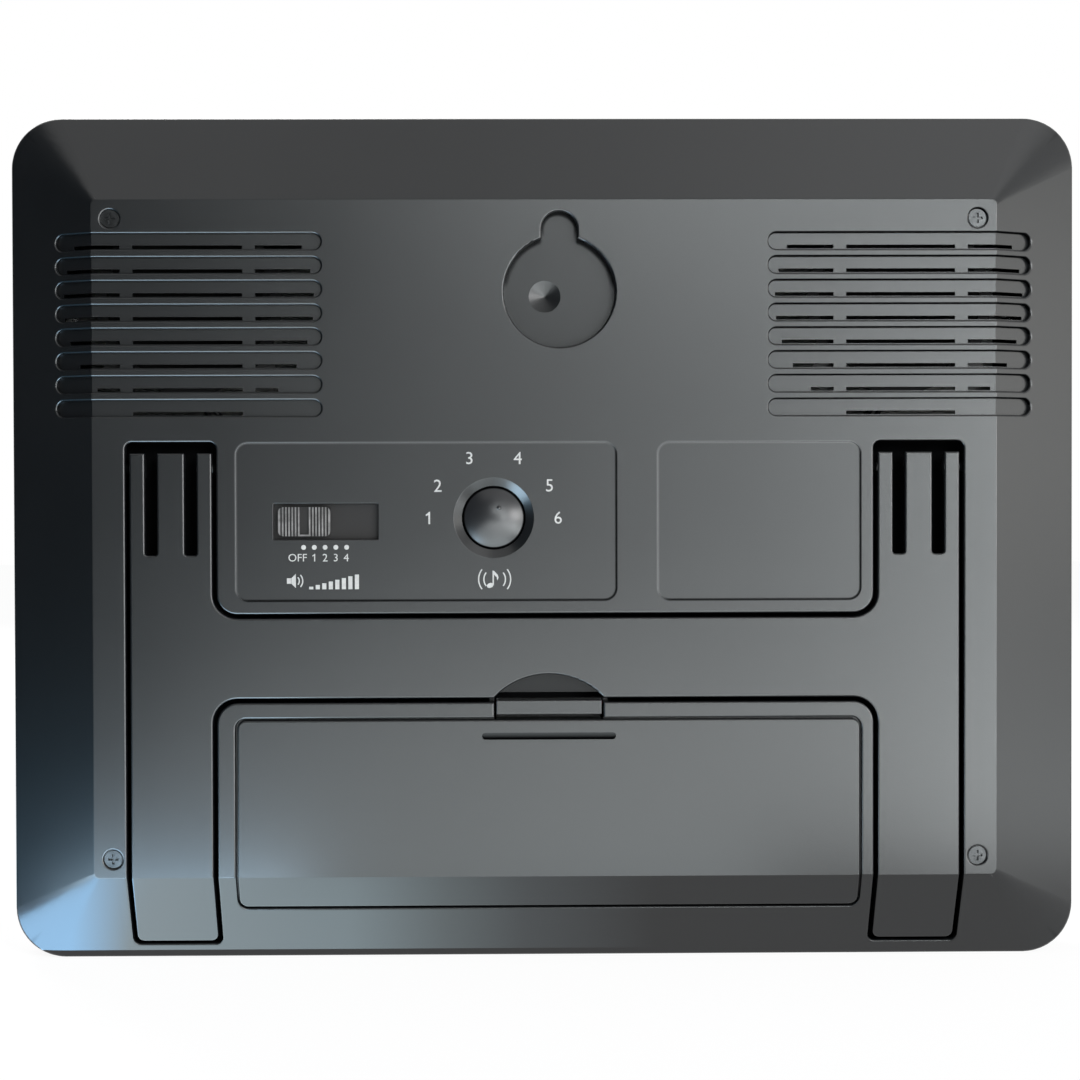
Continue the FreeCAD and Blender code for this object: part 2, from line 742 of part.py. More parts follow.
def make_rear_cover():
    outer, hollow = cover_shell()
    shell = outer.cut(hollow)

    # Walls and floors of the sunk places.
    channel_block = stand_plan(stand_gap + inner_wall, y_split)
    channel_block = channel_block.common(outer).cut(envelope(channel_depth + inner_wall))
    pocket_depth = door_thickness + door_seat_gap
    pocket_block = door_plan(door_gap + inner_wall, y_split)
    pocket_block = pocket_block.common(outer).cut(envelope(pocket_depth + inner_wall))
    bay_block = box(bay_right - bay_wall, bay_left + bay_wall, bay_floor - bay_wall,
                    y_rear - pocket_depth, bay_low - bay_wall, bay_high + bay_wall)
    hanger_block = hanger_opening(hanger_undercut + inner_wall,
                                  y_rear - hanger_depth - inner_wall, y_inside)
    hanger_block = hanger_block.fuse(rod_y(hanger_x, hanger_z, hanger_radius + inner_wall,
                                           y_rear - hanger_depth - inner_wall, y_inside))

    # Posts for the case screws, the control board and the speakers.
    posts = []
    for x, z in screw_places:
        posts.append(rod_y(x, z, post_radius, y_split + post_gap, y_inside))
    for x, z in control_screws:
        posts.append(rod_y(x, z, small_post_radius, control_board_back, y_inside))
    for side, _ in speaker_places:
        seat_y = y_inside - speaker_seat
        seat = rod_y(side * speaker_x, speaker_z, speaker_radius, seat_y, y_inside)
        seat = seat.cut(rod_y(side * speaker_x, speaker_z, speaker_radius - wall,
                              seat_y, y_inside))
        posts.append(seat)
        for x, z in speaker_screws(side):
            posts.append(rod_y(x, z, small_post_radius,
                               seat_y - speaker_flange, y_inside))

    cover = shell.fuse([channel_block, pocket_block, bay_block, hanger_block,
                        cover_lip()] + posts).removeSplitter()

    # Sunk places.
    cover = cover.cut(cut_from_surface(stand_plan(stand_gap), channel_depth))
    cover = cover.cut(cut_from_surface(door_plan(door_gap), pocket_depth))
    cover = cover.cut(box(bay_right, bay_left, bay_floor, y_rear, bay_low, bay_high))
    cover = cover.cut([latch_hole()] + tongue_slots())
    cover = cover.cut(hanger_opening(0, y_rear - hanger_depth, y_rear + 1))
    cover = cover.cut(hanger_opening(hanger_undercut, y_rear - hanger_depth,
                                     y_rear - hanger_lip))
    hanger_floor = y_rear - hanger_depth
    cover = cover.cut(cone_y(0, gate_z, gate_tip, gate_radius, hanger_floor - gate_depth,
                             hanger_floor))
    cover = cover.cut(vent_grooves() + vent_slits())
    cover = cover.cut(cover_holes()).removeSplitter()
    cover = round_edges(cover, rear_round, is_feature_edge)

    # Shallow panels, and the controls that come through one of them.
    floor_y = y_rear - panel_step
    panels = [slab(right, left, panel_bottom, panel_top, panel_radius, floor_y, y_rear + 1)
              for left, right in ((control_panel_left, control_panel_right),
                                  (info_panel_left, info_panel_right))]
    cover = cover.cut(panels)
    cover = round_edges(cover, panel_step / 2, lambda e: all(
        abs(p.y - y_rear) < 1e-3 and p.z > panel_bottom - 0.1 and p.z < panel_top + 0.1 and
        info_panel_right - 0.1 < p.x < control_panel_left + 0.1 for p in samples(e)))
    cover = cover.cut(control_openings())
    return round_edges(cover, panel_step / 2, lambda e: all(
        abs(p.y - floor_y) < 1e-3 and panel_bottom + 1 < p.z < panel_top - 1 and
        control_panel_right + 1 < p.x < control_panel_left - 1 for p in samples(e)))


def speaker_screws(side):
    """Three clamping screws; the fourth corner belongs to a case screw's post."""
    reach = speaker_radius + speaker_clearance + small_post_radius
    places = []
    for angle in (135, 225, 315):
        x = side * (speaker_x + reach * math.cos(math.radians(angle)))
        places.append((x, speaker_z + reach * math.sin(math.radians(angle))))
    return places


def tongue_slots():
    """Slots in the door's ledge, open under the casing's lower lip."""
    slots = []
    half = tongue_width / 2 + tongue_gap
    edge = door_bottom - door_gap
    pocket_depth = door_thickness + door_seat_gap
    for x in (bay_x - tongue_x, bay_x + tongue_x):
        inside = box(x - half, x + half, y_split, y_rear, edge, door_bottom + tongue_reach + 1)
        slots.append(inside.common(envelope(pocket_depth - door_seat_gap)))
        below = box(x - half, x + half, y_split, y_rear, edge - tongue_reach - tongue_gap, edge)
        slots.append(below.common(envelope(slope_wall)))
    return slots


def control_openings():
    slot = slab(slider_x - slot_length / 2, slider_x + slot_length / 2,
                slider_z - slot_height / 2, slider_z + slot_height / 2,
                edge_round, y_inside - 1, y_rear + 1)
    hole = rod_y(knob_x, knob_z, knob_radius + knob_gap, y_inside - 1, y_rear + 1)
    ring = cone_y(knob_x, knob_z, knob_radius + knob_gap, ring_radius,
                  y_rear - ring_depth, y_rear)
    return [slot, hole, ring]


def cover_holes():
    """Screw holes, hinge bores and the openings for the battery contacts."""
    holes = []
    seat = y_rear - screw_sink
    for x, z in screw_places:
        holes.append(rod_y(x, z, screw_shank_radius + screw_clearance, y_split, seat))
        holes.append(cone_y(x, z, screw_shank_radius, screw_head_radius,
                            seat - screw_head_height, seat - screw_rim))
        holes.append(rod_y(x, z, screw_head_radius + screw_head_gap,
                           seat - screw_rim, y_rear + 1))
    for x, z in control_screws:
        holes.append(rod_y(x, z, small_shank_radius + screw_clearance, control_board_back,
                           control_board_back + small_grip + 1))
    for side, _ in speaker_places:
        start = y_inside - speaker_seat - speaker_flange
        for x, z in speaker_screws(side):
            holes.append(rod_y(x, z, small_shank_radius + screw_clearance, start,
                               y_inside - clamp_bore_floor))
    for side in (-1, 1):
        for face, away in ((channel_inner, -1), (channel_outer, 1)):
            holes.append(rod_x(hinge_y, hinge_z, pin_radius + pin_clearance,
                               side * face, side * (face + away * (inner_wall + 1))))
    for wall_x, away in ((bay_left, 1), (bay_right, -1)):
        holes.append(box(wall_x - away, wall_x + away * (bay_wall + 1),
                         tab_y - contact_plate, tab_y + contact_plate,
                         tab_z - tab_half - tab_gap, tab_z + tab_half + tab_gap))
    return holes


# ================================================================ front bezel
def make_front_bezel():
    x = case_width / 2
    outer = slab(-x, x, 0, case_height, rim_radius, y_front, y_split)
    outer = round_edges(outer, front_round, lambda e: all(abs(p.y - y_front) < 1e-3
                                                          for p in samples(e)))
    hollow = slab(-x + wall, x - wall, wall, case_height - wall, rim_radius - wall,
                  face_back, y_split + 1)
    shell = outer.cut(hollow)

    # Seat for the lens, thicker than the face around it.
    side = lens_half_width + ledge
    seat = slab(-side, side, lens_bottom - ledge, lens_top + ledge, lens_radius + ledge,
                face_y, ledge_back)
    posts = [rod_y(px, pz, post_radius, face_back, y_split) for px, pz in screw_places]
    posts += [rod_y(px, pz, small_post_radius, face_back, tray_front) for px, pz in tray_ears]
    posts += [rod_y(px, pz, small_post_radius, face_back, button_board_front)
              for px, pz in button_board_screws]
    bezel = shell.fuse([seat] + posts).removeSplitter()

    # Face recess with a bevelled edge, lens recess and window.
    mouth = face_border - face_recess
    top = case_height - mouth
    bevel_out = rounded_edges(-x + mouth, x - mouth, mouth, top,
                              face_radius + face_recess, y_front)
    bevel_in = rounded_edges(-x + face_border, x - face_border, face_border,
                             case_height - face_border, face_radius, face_y)
    recess = frustum(bevel_out, bevel_in)
    lens_room = slab(-lens_half_width - lens_fit, lens_half_width + lens_fit,
                     lens_bottom - lens_fit, lens_top + lens_fit, lens_radius,
                     face_y - 1, lens_back)
    window = slab(-window_x, window_x, window_bottom, window_top, lens_radius,
                  face_y - 1, ledge_back + 1)
    bezel = bezel.cut([recess, lens_room, window])

    # Button holes and screw bores.
    half, tall = button_length / 2 + button_gap, button_height / 2 + button_gap
    holes = [slab(bx - half, bx + half, button_z - tall, button_z + tall, button_radius,
                  face_y - 1, face_back + 1) for bx in button_places]
    holes += [rod_y(px, pz, screw_shank_radius + screw_clearance,
                    y_split - screw_grip - 1, y_split) for px, pz in screw_places]
    for ends, places in ((tray_front, tray_ears), (button_board_front, button_board_screws)):
        holes += [rod_y(px, pz, small_shank_radius + screw_clearance, ends - small_grip, ends)
                  for px, pz in places]
    return bezel.cut(holes)


def make_window_lens():
    lens = slab(-lens_half_width, lens_half_width, lens_bottom, lens_top,
                lens_radius - lens_fit, face_y, lens_back)
    return round_edges(lens, edge_round, lambda e: all(abs(p.y - face_y) < 1e-3
                                                       for p in samples(e)))


# ================================================================ display
def make_lcd_panel():
    half = lcd_thickness / 2
    front = box(-lcd_x, lcd_x, lcd_front, lcd_front + half, lcd_bottom, lcd_top)
    back = box(-lcd_x, lcd_x, lcd_front + half, lcd_back, lcd_bottom, lcd_top - lcd_ledge)
    return front.fuse(back)


def make_light_guide():
    return box(-lcd_x, lcd_x, guide_front, guide_back, lcd_bottom, lcd_top - lcd_ledge)


def make_lcd_frame():
    ring = slab(-tray_x, tray_x, tray_bottom, tray_top, frame_wall,
                ledge_back + stack_gap, tray_back)
    pocket = box(-lcd_x - tray_gap, lcd_x + tray_gap, ledge_back, tray_front,
                 lcd_bottom - tray_gap, lcd_top + tray_gap)
    tray = ring.cut(pocket)
    ears = [slab(sx * (tray_x - frame_wall), sx * (ear_x + small_post_radius),
                 z - small_post_radius, z + small_post_radius, small_post_radius - 0.01,
                 tray_front, tray_back) for sx in (-1, 1) for z in ear_heights]
    posts = [rod_y(px, pz, small_post_radius, tray_back, main_board_front)
             for px, pz in main_screws]
    tray = fuse([tray] + ears + posts)
    ribbon_room = ribbon_width / 2 + tray_gap
    mouth = box(-ribbon_room, ribbon_room, lcd_front + lcd_thickness / 2, tray_back + 1,
                lcd_top - stack_gap, tray_top + 1)
    holes = [rod_y(px, pz, small_shank_radius + screw_clearance, tray_front, tray_back)
             for px, pz in tray_ears]
    holes += [rod_y(px, pz, small_shank_radius + screw_clearance,
                    main_board_front - main_grip, main_board_front) for px, pz in main_screws]
    return tray.cut([mouth] + holes)


def make_lcd_ribbon():
    """Flat ribbon from the display's contact ledge over the tray to the main board."""
    start_y = lcd_front + lcd_thickness / 2
    over_z = lcd_top + tray_gap + frame_wall / 2
    run_y = tray_back + tray_gap
    end_z = main_board_top - ribbon_lap
    t = ribbon_thickness
    outline = [
        (start_y, lcd_top - lcd_ledge + stack_gap), (start_y, over_z), (run_y + t, over_z),
        (run_y + t, main_board_top + ribbon_lap), (main_board_front, main_board_top + t),
        (main_board_front, end_z), (main_board_front - t, end_z),
        (main_board_front - t, main_board_top + t / 2), (run_y, main_board_top + ribbon_lap),
        (run_y, over_z - t), (start_y + t, over_z - t),
        (start_y + t, lcd_top - lcd_ledge + stack_gap)]
    points = [V(-ribbon_width / 2, y, z) for y, z in outline]
    face = Part.Face(Part.makePolygon(points + points[:1]))
    return face.extrude(V(ribbon_width, 0, 0))


# ================================================================ boards
def make_main_board():
    half = main_board_width / 2
    plate = box(-half, half, main_board_front, main_board_back, main_board_bottom,
                main_board_top)
    return plate.cut([rod_y(x, z, small_shank_radius + screw_clearance,
                            main_board_front, main_board_back) for x, z in main_screws])


def chip(x, z, length, height, thickness, leads, pitch):
    """Black package with a row of legs on its left and right sides."""
    y0 = main_board_back
    body = box(x - length / 2, x + length / 2, y0 + chip_lift, y0 + chip_lift + thickness,
               z - height / 2, z + height / 2)
    legs = []
    for side in (-1, 1):
        for i in range(leads):
            leg_z = z + (i - (leads - 1) / 2) * pitch
            edge = x + side * length / 2
            legs.append(box(edge, edge + side * leg_reach, y0, y0 + leg_thickness,
                            leg_z - pitch / 4, leg_z + pitch / 4))
            legs.append(box(edge, edge + side * leg_thickness, y0,
                            y0 + chip_lift + thickness / 2, leg_z - pitch / 4,
                            leg_z + pitch / 4))
    return fuse([body] + legs)


def make_capacitors():
    cans = []
    for i in range(capacitor_count):
        can = rod_y(capacitor_x + i * capacitor_pitch, capacitor_z, capacitor_radius,
                    main_board_back, main_board_back + capacitor_height)
        top = main_board_back + capacitor_height
        cans.append(round_edges(can, edge_round, lambda e: all(abs(p.y - top) < 1e-3
                                                               for p in samples(e))))
    return Part.makeCompound(cans)


def make_quartz_crystal():
    y = main_board_back + crystal_radius
    can = rod_x(y, crystal_z, crystal_radius, crystal_x, crystal_x + crystal_length)
    legs = []
    for leg_z in (crystal_z - crystal_leg_offset, crystal_z + crystal_leg_offset):
        low, high = leg_z - leg_thickness, leg_z + leg_thickness
        legs.append(box(crystal_x - crystal_leg, crystal_x, main_board_back,
                        main_board_back + leg_thickness, low, high))
        legs.append(box(crystal_x - leg_thickness, crystal_x, main_board_back, y, low, high))
    return fuse([can] + legs)


def make_lead_sockets():
    """One white two-way or four-way socket for each set of leads."""
    sockets = []
    for x, z, width in socket_places:
        body = box(x - width / 2, x + width / 2, main_board_back,
                   main_board_back + socket_height, z - socket_depth / 2,
                   z + socket_depth / 2)
        sockets.append(body)
    return Part.makeCompound(sockets)


def board_screw(x, z, seat, away, grip, head_radius=small_head_radius):
    """Pan-head screw; away is +1 when the head points to +Y, -1 when it points to -Y."""
    head = rod_y(x, z, head_radius, seat, seat + away * small_head_height)
    head = round_edges(head, edge_round, lambda e: all(
        abs(p.y - (seat + away * small_head_height)) < 1e-3 for p in samples(e)))
    shank = rod_y(x, z, small_shank_radius, seat, seat - away * grip)
    top = seat + away * small_head_height
    cross = []
    for length, height in ((small_cross_length, small_cross_width),
                           (small_cross_width, small_cross_length)):
        cross.append(box(x - length / 2, x + length / 2, top - small_cross_depth,
                         top + small_cross_depth, z - height / 2, z + height / 2))
    return head.fuse(shank).cut(cross)


def make_main_board_screws():
    return Part.makeCompound([board_screw(x, z, main_board_back, 1,
                                          board + main_grip - small_tip_gap)
                              for x, z in main_screws])


def make_lcd_frame_screws():
    return Part.makeCompound([board_screw(x, z, tray_back, 1,
                                          frame_back + small_grip - small_tip_gap)
                              for x, z in tray_ears])


def make_button_board_screws():
    return Part.makeCompound([board_screw(x, z, button_board_back, 1,
                                          board + small_grip - small_tip_gap)
                              for x, z in button_board_screws])


def make_control_board_screws():
    return Part.makeCompound([board_screw(x, z, control_board_front, -1,
                                          board + small_grip - small_tip_gap)
                              for x, z in control_screws])


def make_button_board():
    half = button_board_half
    low = button_z - button_board_height / 2
    plate = box(-half, half, button_board_front, button_board_back, low,
                low + button_board_height)
    return plate.cut([rod_y(x, z, small_shank_radius + screw_clearance,
                            button_board_front, button_board_back)
                      for x, z in button_board_screws])


def make_tact_switches():
    half = tact_side / 2
    switches = []
    for x in button_places:
        body = box(x - half, x + half, tact_front, button_board_front,
                   button_z - half, button_z + half)
        plunger = rod_y(x, button_z, tact_plunger_radius, plunger_front, tact_front)
        switches.append(body.fuse(plunger))
    return Part.makeCompound(switches)


def make_control_board():
    plate = box(control_board_right, control_board_left, control_board_front,
                control_board_back, control_board_bottom, control_board_top)
    return plate.cut([rod_y(x, z, small_shank_radius + screw_clearance,
                            control_board_front, control_board_back)
                      for x, z in control_screws])


# ================================================================ front buttons
def make_button(x):
    """Key cap with a retaining flange behind the face and a stem for its switch."""
    half, tall = button_length / 2, button_height / 2
    cap = slab(x - half, x + half, button_z - tall, button_z + tall,
               button_radius - button_gap, button_top, flange_front)
    cap = round_edges(cap, button_round, lambda e: all(abs(p.y - button_top) < 1e-3
                                                       for p in samples(e)))
    flange = slab(x - half - button_flange, x + half + button_flange,
                  button_z - tall - button_flange, button_z + tall + button_flange,
                  button_radius, flange_front, flange_back)
    stem = rod_y(x, button_z, button_stem_radius, flange_back, stem_back)
    return fuse([cap, flange, stem])


# ================================================================ case screws
def make_case_screws():
    screws = []
    seat = y_rear - screw_sink
    for x, z in screw_places:
        rim = rod_y(x, z, screw_head_radius, seat - screw_rim, seat)
        cone = cone_y(x, z, screw_shank_radius, screw_head_radius,
                      seat - screw_head_height, seat - screw_rim)
        shank = rod_y(x, z, screw_shank_radius, y_split - screw_grip,
                      seat - screw_head_height)
        screw = fuse([rim, cone, shank])
        cross = []
        for length, height in ((cross_length, cross_width), (cross_width, cross_length)):
            cross.append(box(x - length / 2, x + length / 2, seat - cross_depth, seat + 1,
                             z - height / 2, z + height / 2))
        screws.append(screw.cut(cross))
    return Part.makeCompound(screws)


# ================================================================ stand
def make_stand():
    """H-shaped prop: a plate with a rib round its edge, hinged at the top of both arms."""
    plan = stand_plan(0.0, y_split)
    square_tops = [box(side * arm_inner, side * arm_outer, y_split, y_rear + 1,
                       stand_top - 2 * stand_corner, stand_top) for side in (-1, 1)]
    plan = plan.fuse(square_tops).removeSplitter()
    plate = under_surface(plan, 0, stand_plate)
    core = stand_plan(-stand_rib, y_split - 1)
    rib = under_surface(plan, stand_plate, stand_rib_depth).cut(core)
    rib = rib.cut(box(-big, big, -big, big, hinge_z - barrel_radius, big))
    stand = plate.fuse(rib).removeSplitter()

    # Two slots in each arm leave a tongue between two springy strips.
    slots = []
    for side in (-1, 1):
        for x0 in (arm_outer - arm_strip - arm_slot, arm_inner + arm_strip):
            slot = slab(side * x0, side * (x0 + arm_slot), arm_slot_bottom,
                        stand_top + arm_slot, arm_slot / 4, y_split, y_rear + 1)
            slots.append(slot)
    radius = (notch_chord ** 2 / 4 + notch_height ** 2) / (2 * notch_height)
    notch = rod_y(bay_x, bar_bottom + notch_height - radius, radius, y_split, y_rear + 1)
    stand = stand.cut(slots + [notch])
    stand = round_edges(stand, rear_round, is_feature_edge)

    # Hinge barrels and pins on the strips, and a stop under each tongue.
    extras = []
    for side in (-1, 1):
        for face, away in ((arm_outer, 1), (arm_inner, -1)):
            extras.append(rod_x(hinge_y, hinge_z, barrel_radius, side * face,
                                side * (face - away * arm_strip)))
            extras.append(rod_x(hinge_y, hinge_z, pin_radius, side * face,
                                side * (face + away * (stand_gap + pin_engage))))
        tongue_low = arm_inner + arm_strip + arm_slot
        tongue_high = arm_outer - arm_strip - arm_slot
        extras.append(box(side * tongue_low, side * tongue_high,
                          y_rear - stand_plate - stop_height, y_rear - stand_plate,
                          hinge_z, stand_top - rear_round))
    return fuse([stand] + extras)


# ================================================================ battery bay
def make_battery_door():
    plan = door_plan(0.0, y_split)
    door = under_surface(plan, 0, door_thickness)
    door = round_edges(door, rear_round, is_feature_edge)
    low, high = grip_z - grip_height / 2, grip_z + grip_height / 2
    grip = slab(bay_x - grip_length / 2, bay_x + grip_length / 2, low, high,
                grip_height / 2 - 0.01, y_rear - grip_depth, y_rear + 1)
    wedge_points = [V(-big, y_rear + 1, high), V(-big, y_rear - grip_depth / 3, high),
                    V(-big, y_rear - grip_depth, low), V(-big, y_rear + 1, low)]
    wedge = Part.Face(Part.makePolygon(wedge_points + wedge_points[:1]))
    grip = grip.common(wedge.extrude(V(2 * big, 0, 0)))
    door = door.cut(grip)

    # Inner leg of the latch spring, and the tongues that hook under the casing.
    leg = box(bay_x - latch_width / 2, bay_x + latch_width / 2,
              latch_bottom_y + latch_root_gap, y_rear - door_thickness,
              latch_root_z - latch_leg / 2, latch_root_z + latch_leg / 2)
    extras = [leg]
    for x in (bay_x - tongue_x, bay_x + tongue_x):
        half = tongue_width / 2
        hook = box(x - half, x + half, y_split, y_rear, door_bottom - tongue_reach,
                   door_bottom + tongue_reach / 2)
        extras.append(under_surface(hook, tongue_depth, tongue_depth + tongue_thickness))
        root = box(x - half, x + half, y_split, y_rear, door_bottom,
                   door_bottom + tongue_reach / 2)
        extras.append(under_surface(root, door_thickness, tongue_depth + tongue_thickness))
    return fuse([door] + extras)


def make_battery_latch():
    """Outer half of the U spring: a floor, a leg with a catch and the finger tab."""
    x0, x1 = bay_x - latch_width / 2, bay_x + latch_width / 2
    floor_top = latch_bottom_y
    leg_outer = latch_tab_top - latch_nib
    floor = box(x0, x1, floor_top - latch_leg, floor_top, latch_root_z - latch_leg / 2,
                leg_outer)
    leg = box(x0, x1, floor_top, y_rear - latch_tab_thickness, leg_outer - latch_leg, leg_outer)
    tab = box(x0, x1, y_rear - latch_tab_thickness, y_rear,
              latch_tab_top - latch_tab_height, latch_tab_top)
    tab = round_edges(tab, edge_round, lambda e: all(abs(p.y - y_rear) < 1e-3
                                                     for p in samples(e)))
    catch_top = y_rear - channel_depth - inner_wall - latch_catch_gap
    points = [V(x0, catch_top, leg_outer), V(x0, catch_top, latch_tab_top),
              V(x0, catch_top - 2 * latch_nib, leg_outer)]
    catch = Part.Face(Part.makePolygon(points + points[:1])).extrude(V(latch_width, 0, 0))
    return fuse([floor, leg, tab, catch])


def make_battery_cells():
    cells = []
    body = cell_length - cell_nub
    first = bay_right + contact_plate + spring_length
    for i in range(cell_count):
        x = first + i * cell_length
        can = rod_x(cell_y, cell_z, cell_radius, x, x + body)
        can = round_edges(can, cell_round, lambda e: e.Length > 6 * cell_radius and
                          abs(samples(e)[0].x - samples(e)[1].x) < 1e-3)
        nub = rod_x(cell_y, cell_z, cell_nub_radius, x + body, x + cell_length)
        cells.append(can.fuse(nub))
    return Part.makeCompound(cells)


def contact_blade(wall_x, away):
    """Plate against an end wall of the bay, with a solder tab through it."""
    half = cell_radius - contact_inset
    plate = box(wall_x, wall_x - away * contact_plate, cell_y - half, cell_y + half,
                cell_z - half, cell_z + half)
    tab = box(wall_x - away * contact_plate, wall_x + away * (bay_wall + tab_reach),
              tab_y - contact_plate / 2, tab_y + contact_plate / 2,
              tab_z - tab_half, tab_z + tab_half)
    strap = box(wall_x, wall_x - away * contact_plate, tab_y - contact_plate / 2,
                cell_y, tab_z - tab_half, tab_z + tab_half)
    return fuse([plate, tab, strap])


def make_positive_contact():
    return contact_blade(bay_left, 1)


def make_negative_contact():
    """Plate with a conical spring, drawn as close coils at its working length."""
    blade = contact_blade(bay_right, -1)
    coils = []
    reach = spring_length - spring_wire + spring_sink
    steps = spring_turns * 2
    for i in range(steps):
        x = bay_right + contact_plate + spring_wire / 2 - spring_sink + i * reach / (steps - 1)
        radius = spring_base - i * (spring_base - spring_tip) / (steps - 1)
        coils.append(Part.makeTorus(radius, spring_wire / 2, V(x, cell_y, cell_z), V(1, 0, 0)))
    return fuse([blade] + coils)


# ================================================================ volume slider
def make_volume_slider():
    """Ribbed finger cap on an apron that keeps the slot closed at every setting."""
    x = cap_rest_x
    apron = slab(x - apron_half, x + apron_half, slider_z - slot_height / 2 - apron_cover,
                 slider_z + slot_height / 2 + apron_cover, edge_round, apron_bottom, apron_top)
    cap_top = y_rear + cap_proud
    cap = slab(x - cap_length / 2, x + cap_length / 2, slider_z - cap_height / 2,
               slider_z + cap_height / 2, cap_radius, apron_top, cap_top)
    grooves = []
    for side in (-1, 1):
        for i in range(cap_grooves):
            edge = x + side * (cap_notch_width / 2 + cap_rib_width + i * cap_rib_pitch)
            grooves.append(box(edge, edge + side * (cap_rib_pitch - cap_rib_width),
                               cap_top - cap_rib_depth, cap_top + 1,
                               slider_z - cap_height, slider_z + cap_height))
    grooves.append(box(x - cap_notch_width / 2, x + cap_notch_width / 2,
                       cap_top - cap_notch_depth, cap_top + 1,
                       slider_z - cap_height / 2 + cap_notch_lip, slider_z + cap_height))
    cheeks = []
    for side in (-1, 1):
        near = x + side * (lever_width / 2 + lever_fit)
        cheeks.append(box(near, near + side * cheek_thickness,
                          apron_bottom - cheek_reach, apron_bottom,
                          slider_z - lever_height / 2, slider_z + lever_height / 2))
    return fuse([apron, cap.cut(grooves)] + cheeks)


def make_volume_switch():
    half = slide_switch_length / 2
    tall = slide_switch_height / 2
    top = control_board_back + slide_switch_depth
    body = box(slider_x - half, slider_x + half, control_board_back, top,
               slider_z - tall, slider_z + tall)
    reach = slide_travel / 2 + lever_width / 2 + lever_room
    slot = box(slider_x - reach, slider_x + reach, top - lever_root - lever_room, top + 1,
               slider_z - lever_height / 2 - lever_room,
               slider_z + lever_height / 2 + lever_room)
    return body.cut(slot)


def make_volume_switch_lever():
    top = control_board_back + slide_switch_depth
    return box(cap_rest_x - lever_width / 2, cap_rest_x + lever_width / 2,
               top - lever_root, apron_bottom,
               slider_z - lever_height / 2, slider_z + lever_height / 2)


# ================================================================ sound selector
def make_selector_knob():
    top = y_rear - knob_sink
    edge_y = top - knob_crown
    skirt_back = y_inside - knob_skirt_gap
    sphere_radius = (knob_radius ** 2 + knob_crown ** 2) / (2 * knob_crown)
    ball = Part.makeSphere(sphere_radius, V(knob_x, top - sphere_radius, knob_z))
    dome = rod_y(knob_x, knob_z, knob_radius, skirt_back - knob_skirt, top + 1).common(ball)
    dome = round_edges(dome, edge_round, lambda e: all(
        abs(p.y - edge_y) < 0.01 for p in samples(e)))
    skirt = rod_y(knob_x, knob_z, knob_skirt_radius, skirt_back - knob_skirt, skirt_back)
    hub = rod_y(knob_x, knob_z, hub_radius, rotary_top + shaft_fit, skirt_back - knob_skirt)
    angle = math.radians(knob_pip_angle)
    pip_x = knob_x - knob_pip_offset * math.sin(angle)
    pip_z = knob_z + knob_pip_offset * math.cos(angle)
    pip_y = top - sphere_radius + math.sqrt(sphere_radius ** 2 - knob_pip_offset ** 2)
    pip = Part.makeSphere(knob_pip_radius, V(pip_x, pip_y - knob_pip_sink, pip_z))
    bore = shaft_solid(shaft_fit, rotary_top, shaft_end + shaft_fit)
    return fuse([dome, skirt, hub, pip]).cut(bore)


def shaft_solid(grow, y0, y1):
    """Round shaft with a flat, grown on every side for the bore that takes it."""
    shaft = rod_y(knob_x, knob_z, shaft_radius + grow, y0, y1)
    flat_z = knob_z + shaft_radius - shaft_flat + grow
    return shaft.cut(box(-big, big, -big, big, flat_z, big))


def make_selector_shaft():
    plain = rod_y(knob_x, knob_z, shaft_radius, rotary_bore_floor + shaft_fit, rotary_top)
    return plain.fuse(shaft_solid(0, rotary_top, shaft_end))


def make_selector_switch():
    can = rod_y(knob_x, knob_z, rotary_radius, control_board_back,
                control_board_back + rotary_height)
    neck = rod_y(knob_x, knob_z, hub_radius, control_board_back, rotary_top)
    bore = rod_y(knob_x, knob_z, shaft_radius + shaft_fit, rotary_bore_floor, rotary_top)
    return fuse([can, neck]).cut(bore)


# ================================================================ speakers
def speaker_profile(side, pairs):
    front = y_inside - speaker_seat
    return revolve_y(side * speaker_x, speaker_z, [(r, front - depth) for r, depth in pairs])


def make_speaker_frame(side):
    """Pressed steel basket: flange, sloping wall with four windows, and back ring."""
    waist = speaker_depth - magnet_height
    basket = speaker_profile(side, [
        (cone_opening, 0), (speaker_radius, 0), (speaker_radius, speaker_flange),
        (speaker_radius - flange_width, speaker_flange), (basket_waist, waist),
        (voice_gap, waist), (voice_gap, waist - basket_wall),
        (basket_waist - basket_wall, waist - basket_wall),
        (cone_opening, speaker_flange)])
    windows = []
    for quarter in range(4):
        window = box(side * speaker_x + voice_gap, side * speaker_x + speaker_radius,
                     y_inside - speaker_seat - waist + flange_width,
                     y_inside - speaker_seat - 2 * speaker_flange,
                     speaker_z - window_half, speaker_z + window_half)
        window.rotate(V(side * speaker_x, 0, speaker_z), V(0, 1, 0), 45 + quarter * 90)
        windows.append(window)
    back = y_inside - speaker_seat - waist
    tag = box(side * speaker_x - terminal_half, side * speaker_x + terminal_half,
              back, back + basket_wall, speaker_z - terminal_reach,
              speaker_z - basket_waist + basket_wall)
    return basket.cut(windows).fuse(tag)


def make_speaker_cone(side):
    """Paper cone with a rolled edge, dust cap and the voice coil's former."""
    edge = cone_opening - speaker_clearance
    top = speaker_clearance
    cap_edge = cone_depth - dust_cap_height
    cap_top = cap_edge - dust_cap_height
    t = cone_wall
    return speaker_profile(side, [
        (edge, top), (edge, top + t), (edge - roll_width, top + t),
        (former_radius + t, cone_depth), (former_radius + t, former_end),
        (former_radius, former_end), (former_radius, cap_edge), (0, cap_top),
        (0, cap_top - t), (former_radius + t, cap_edge - t), (edge - roll_width - t, top)])


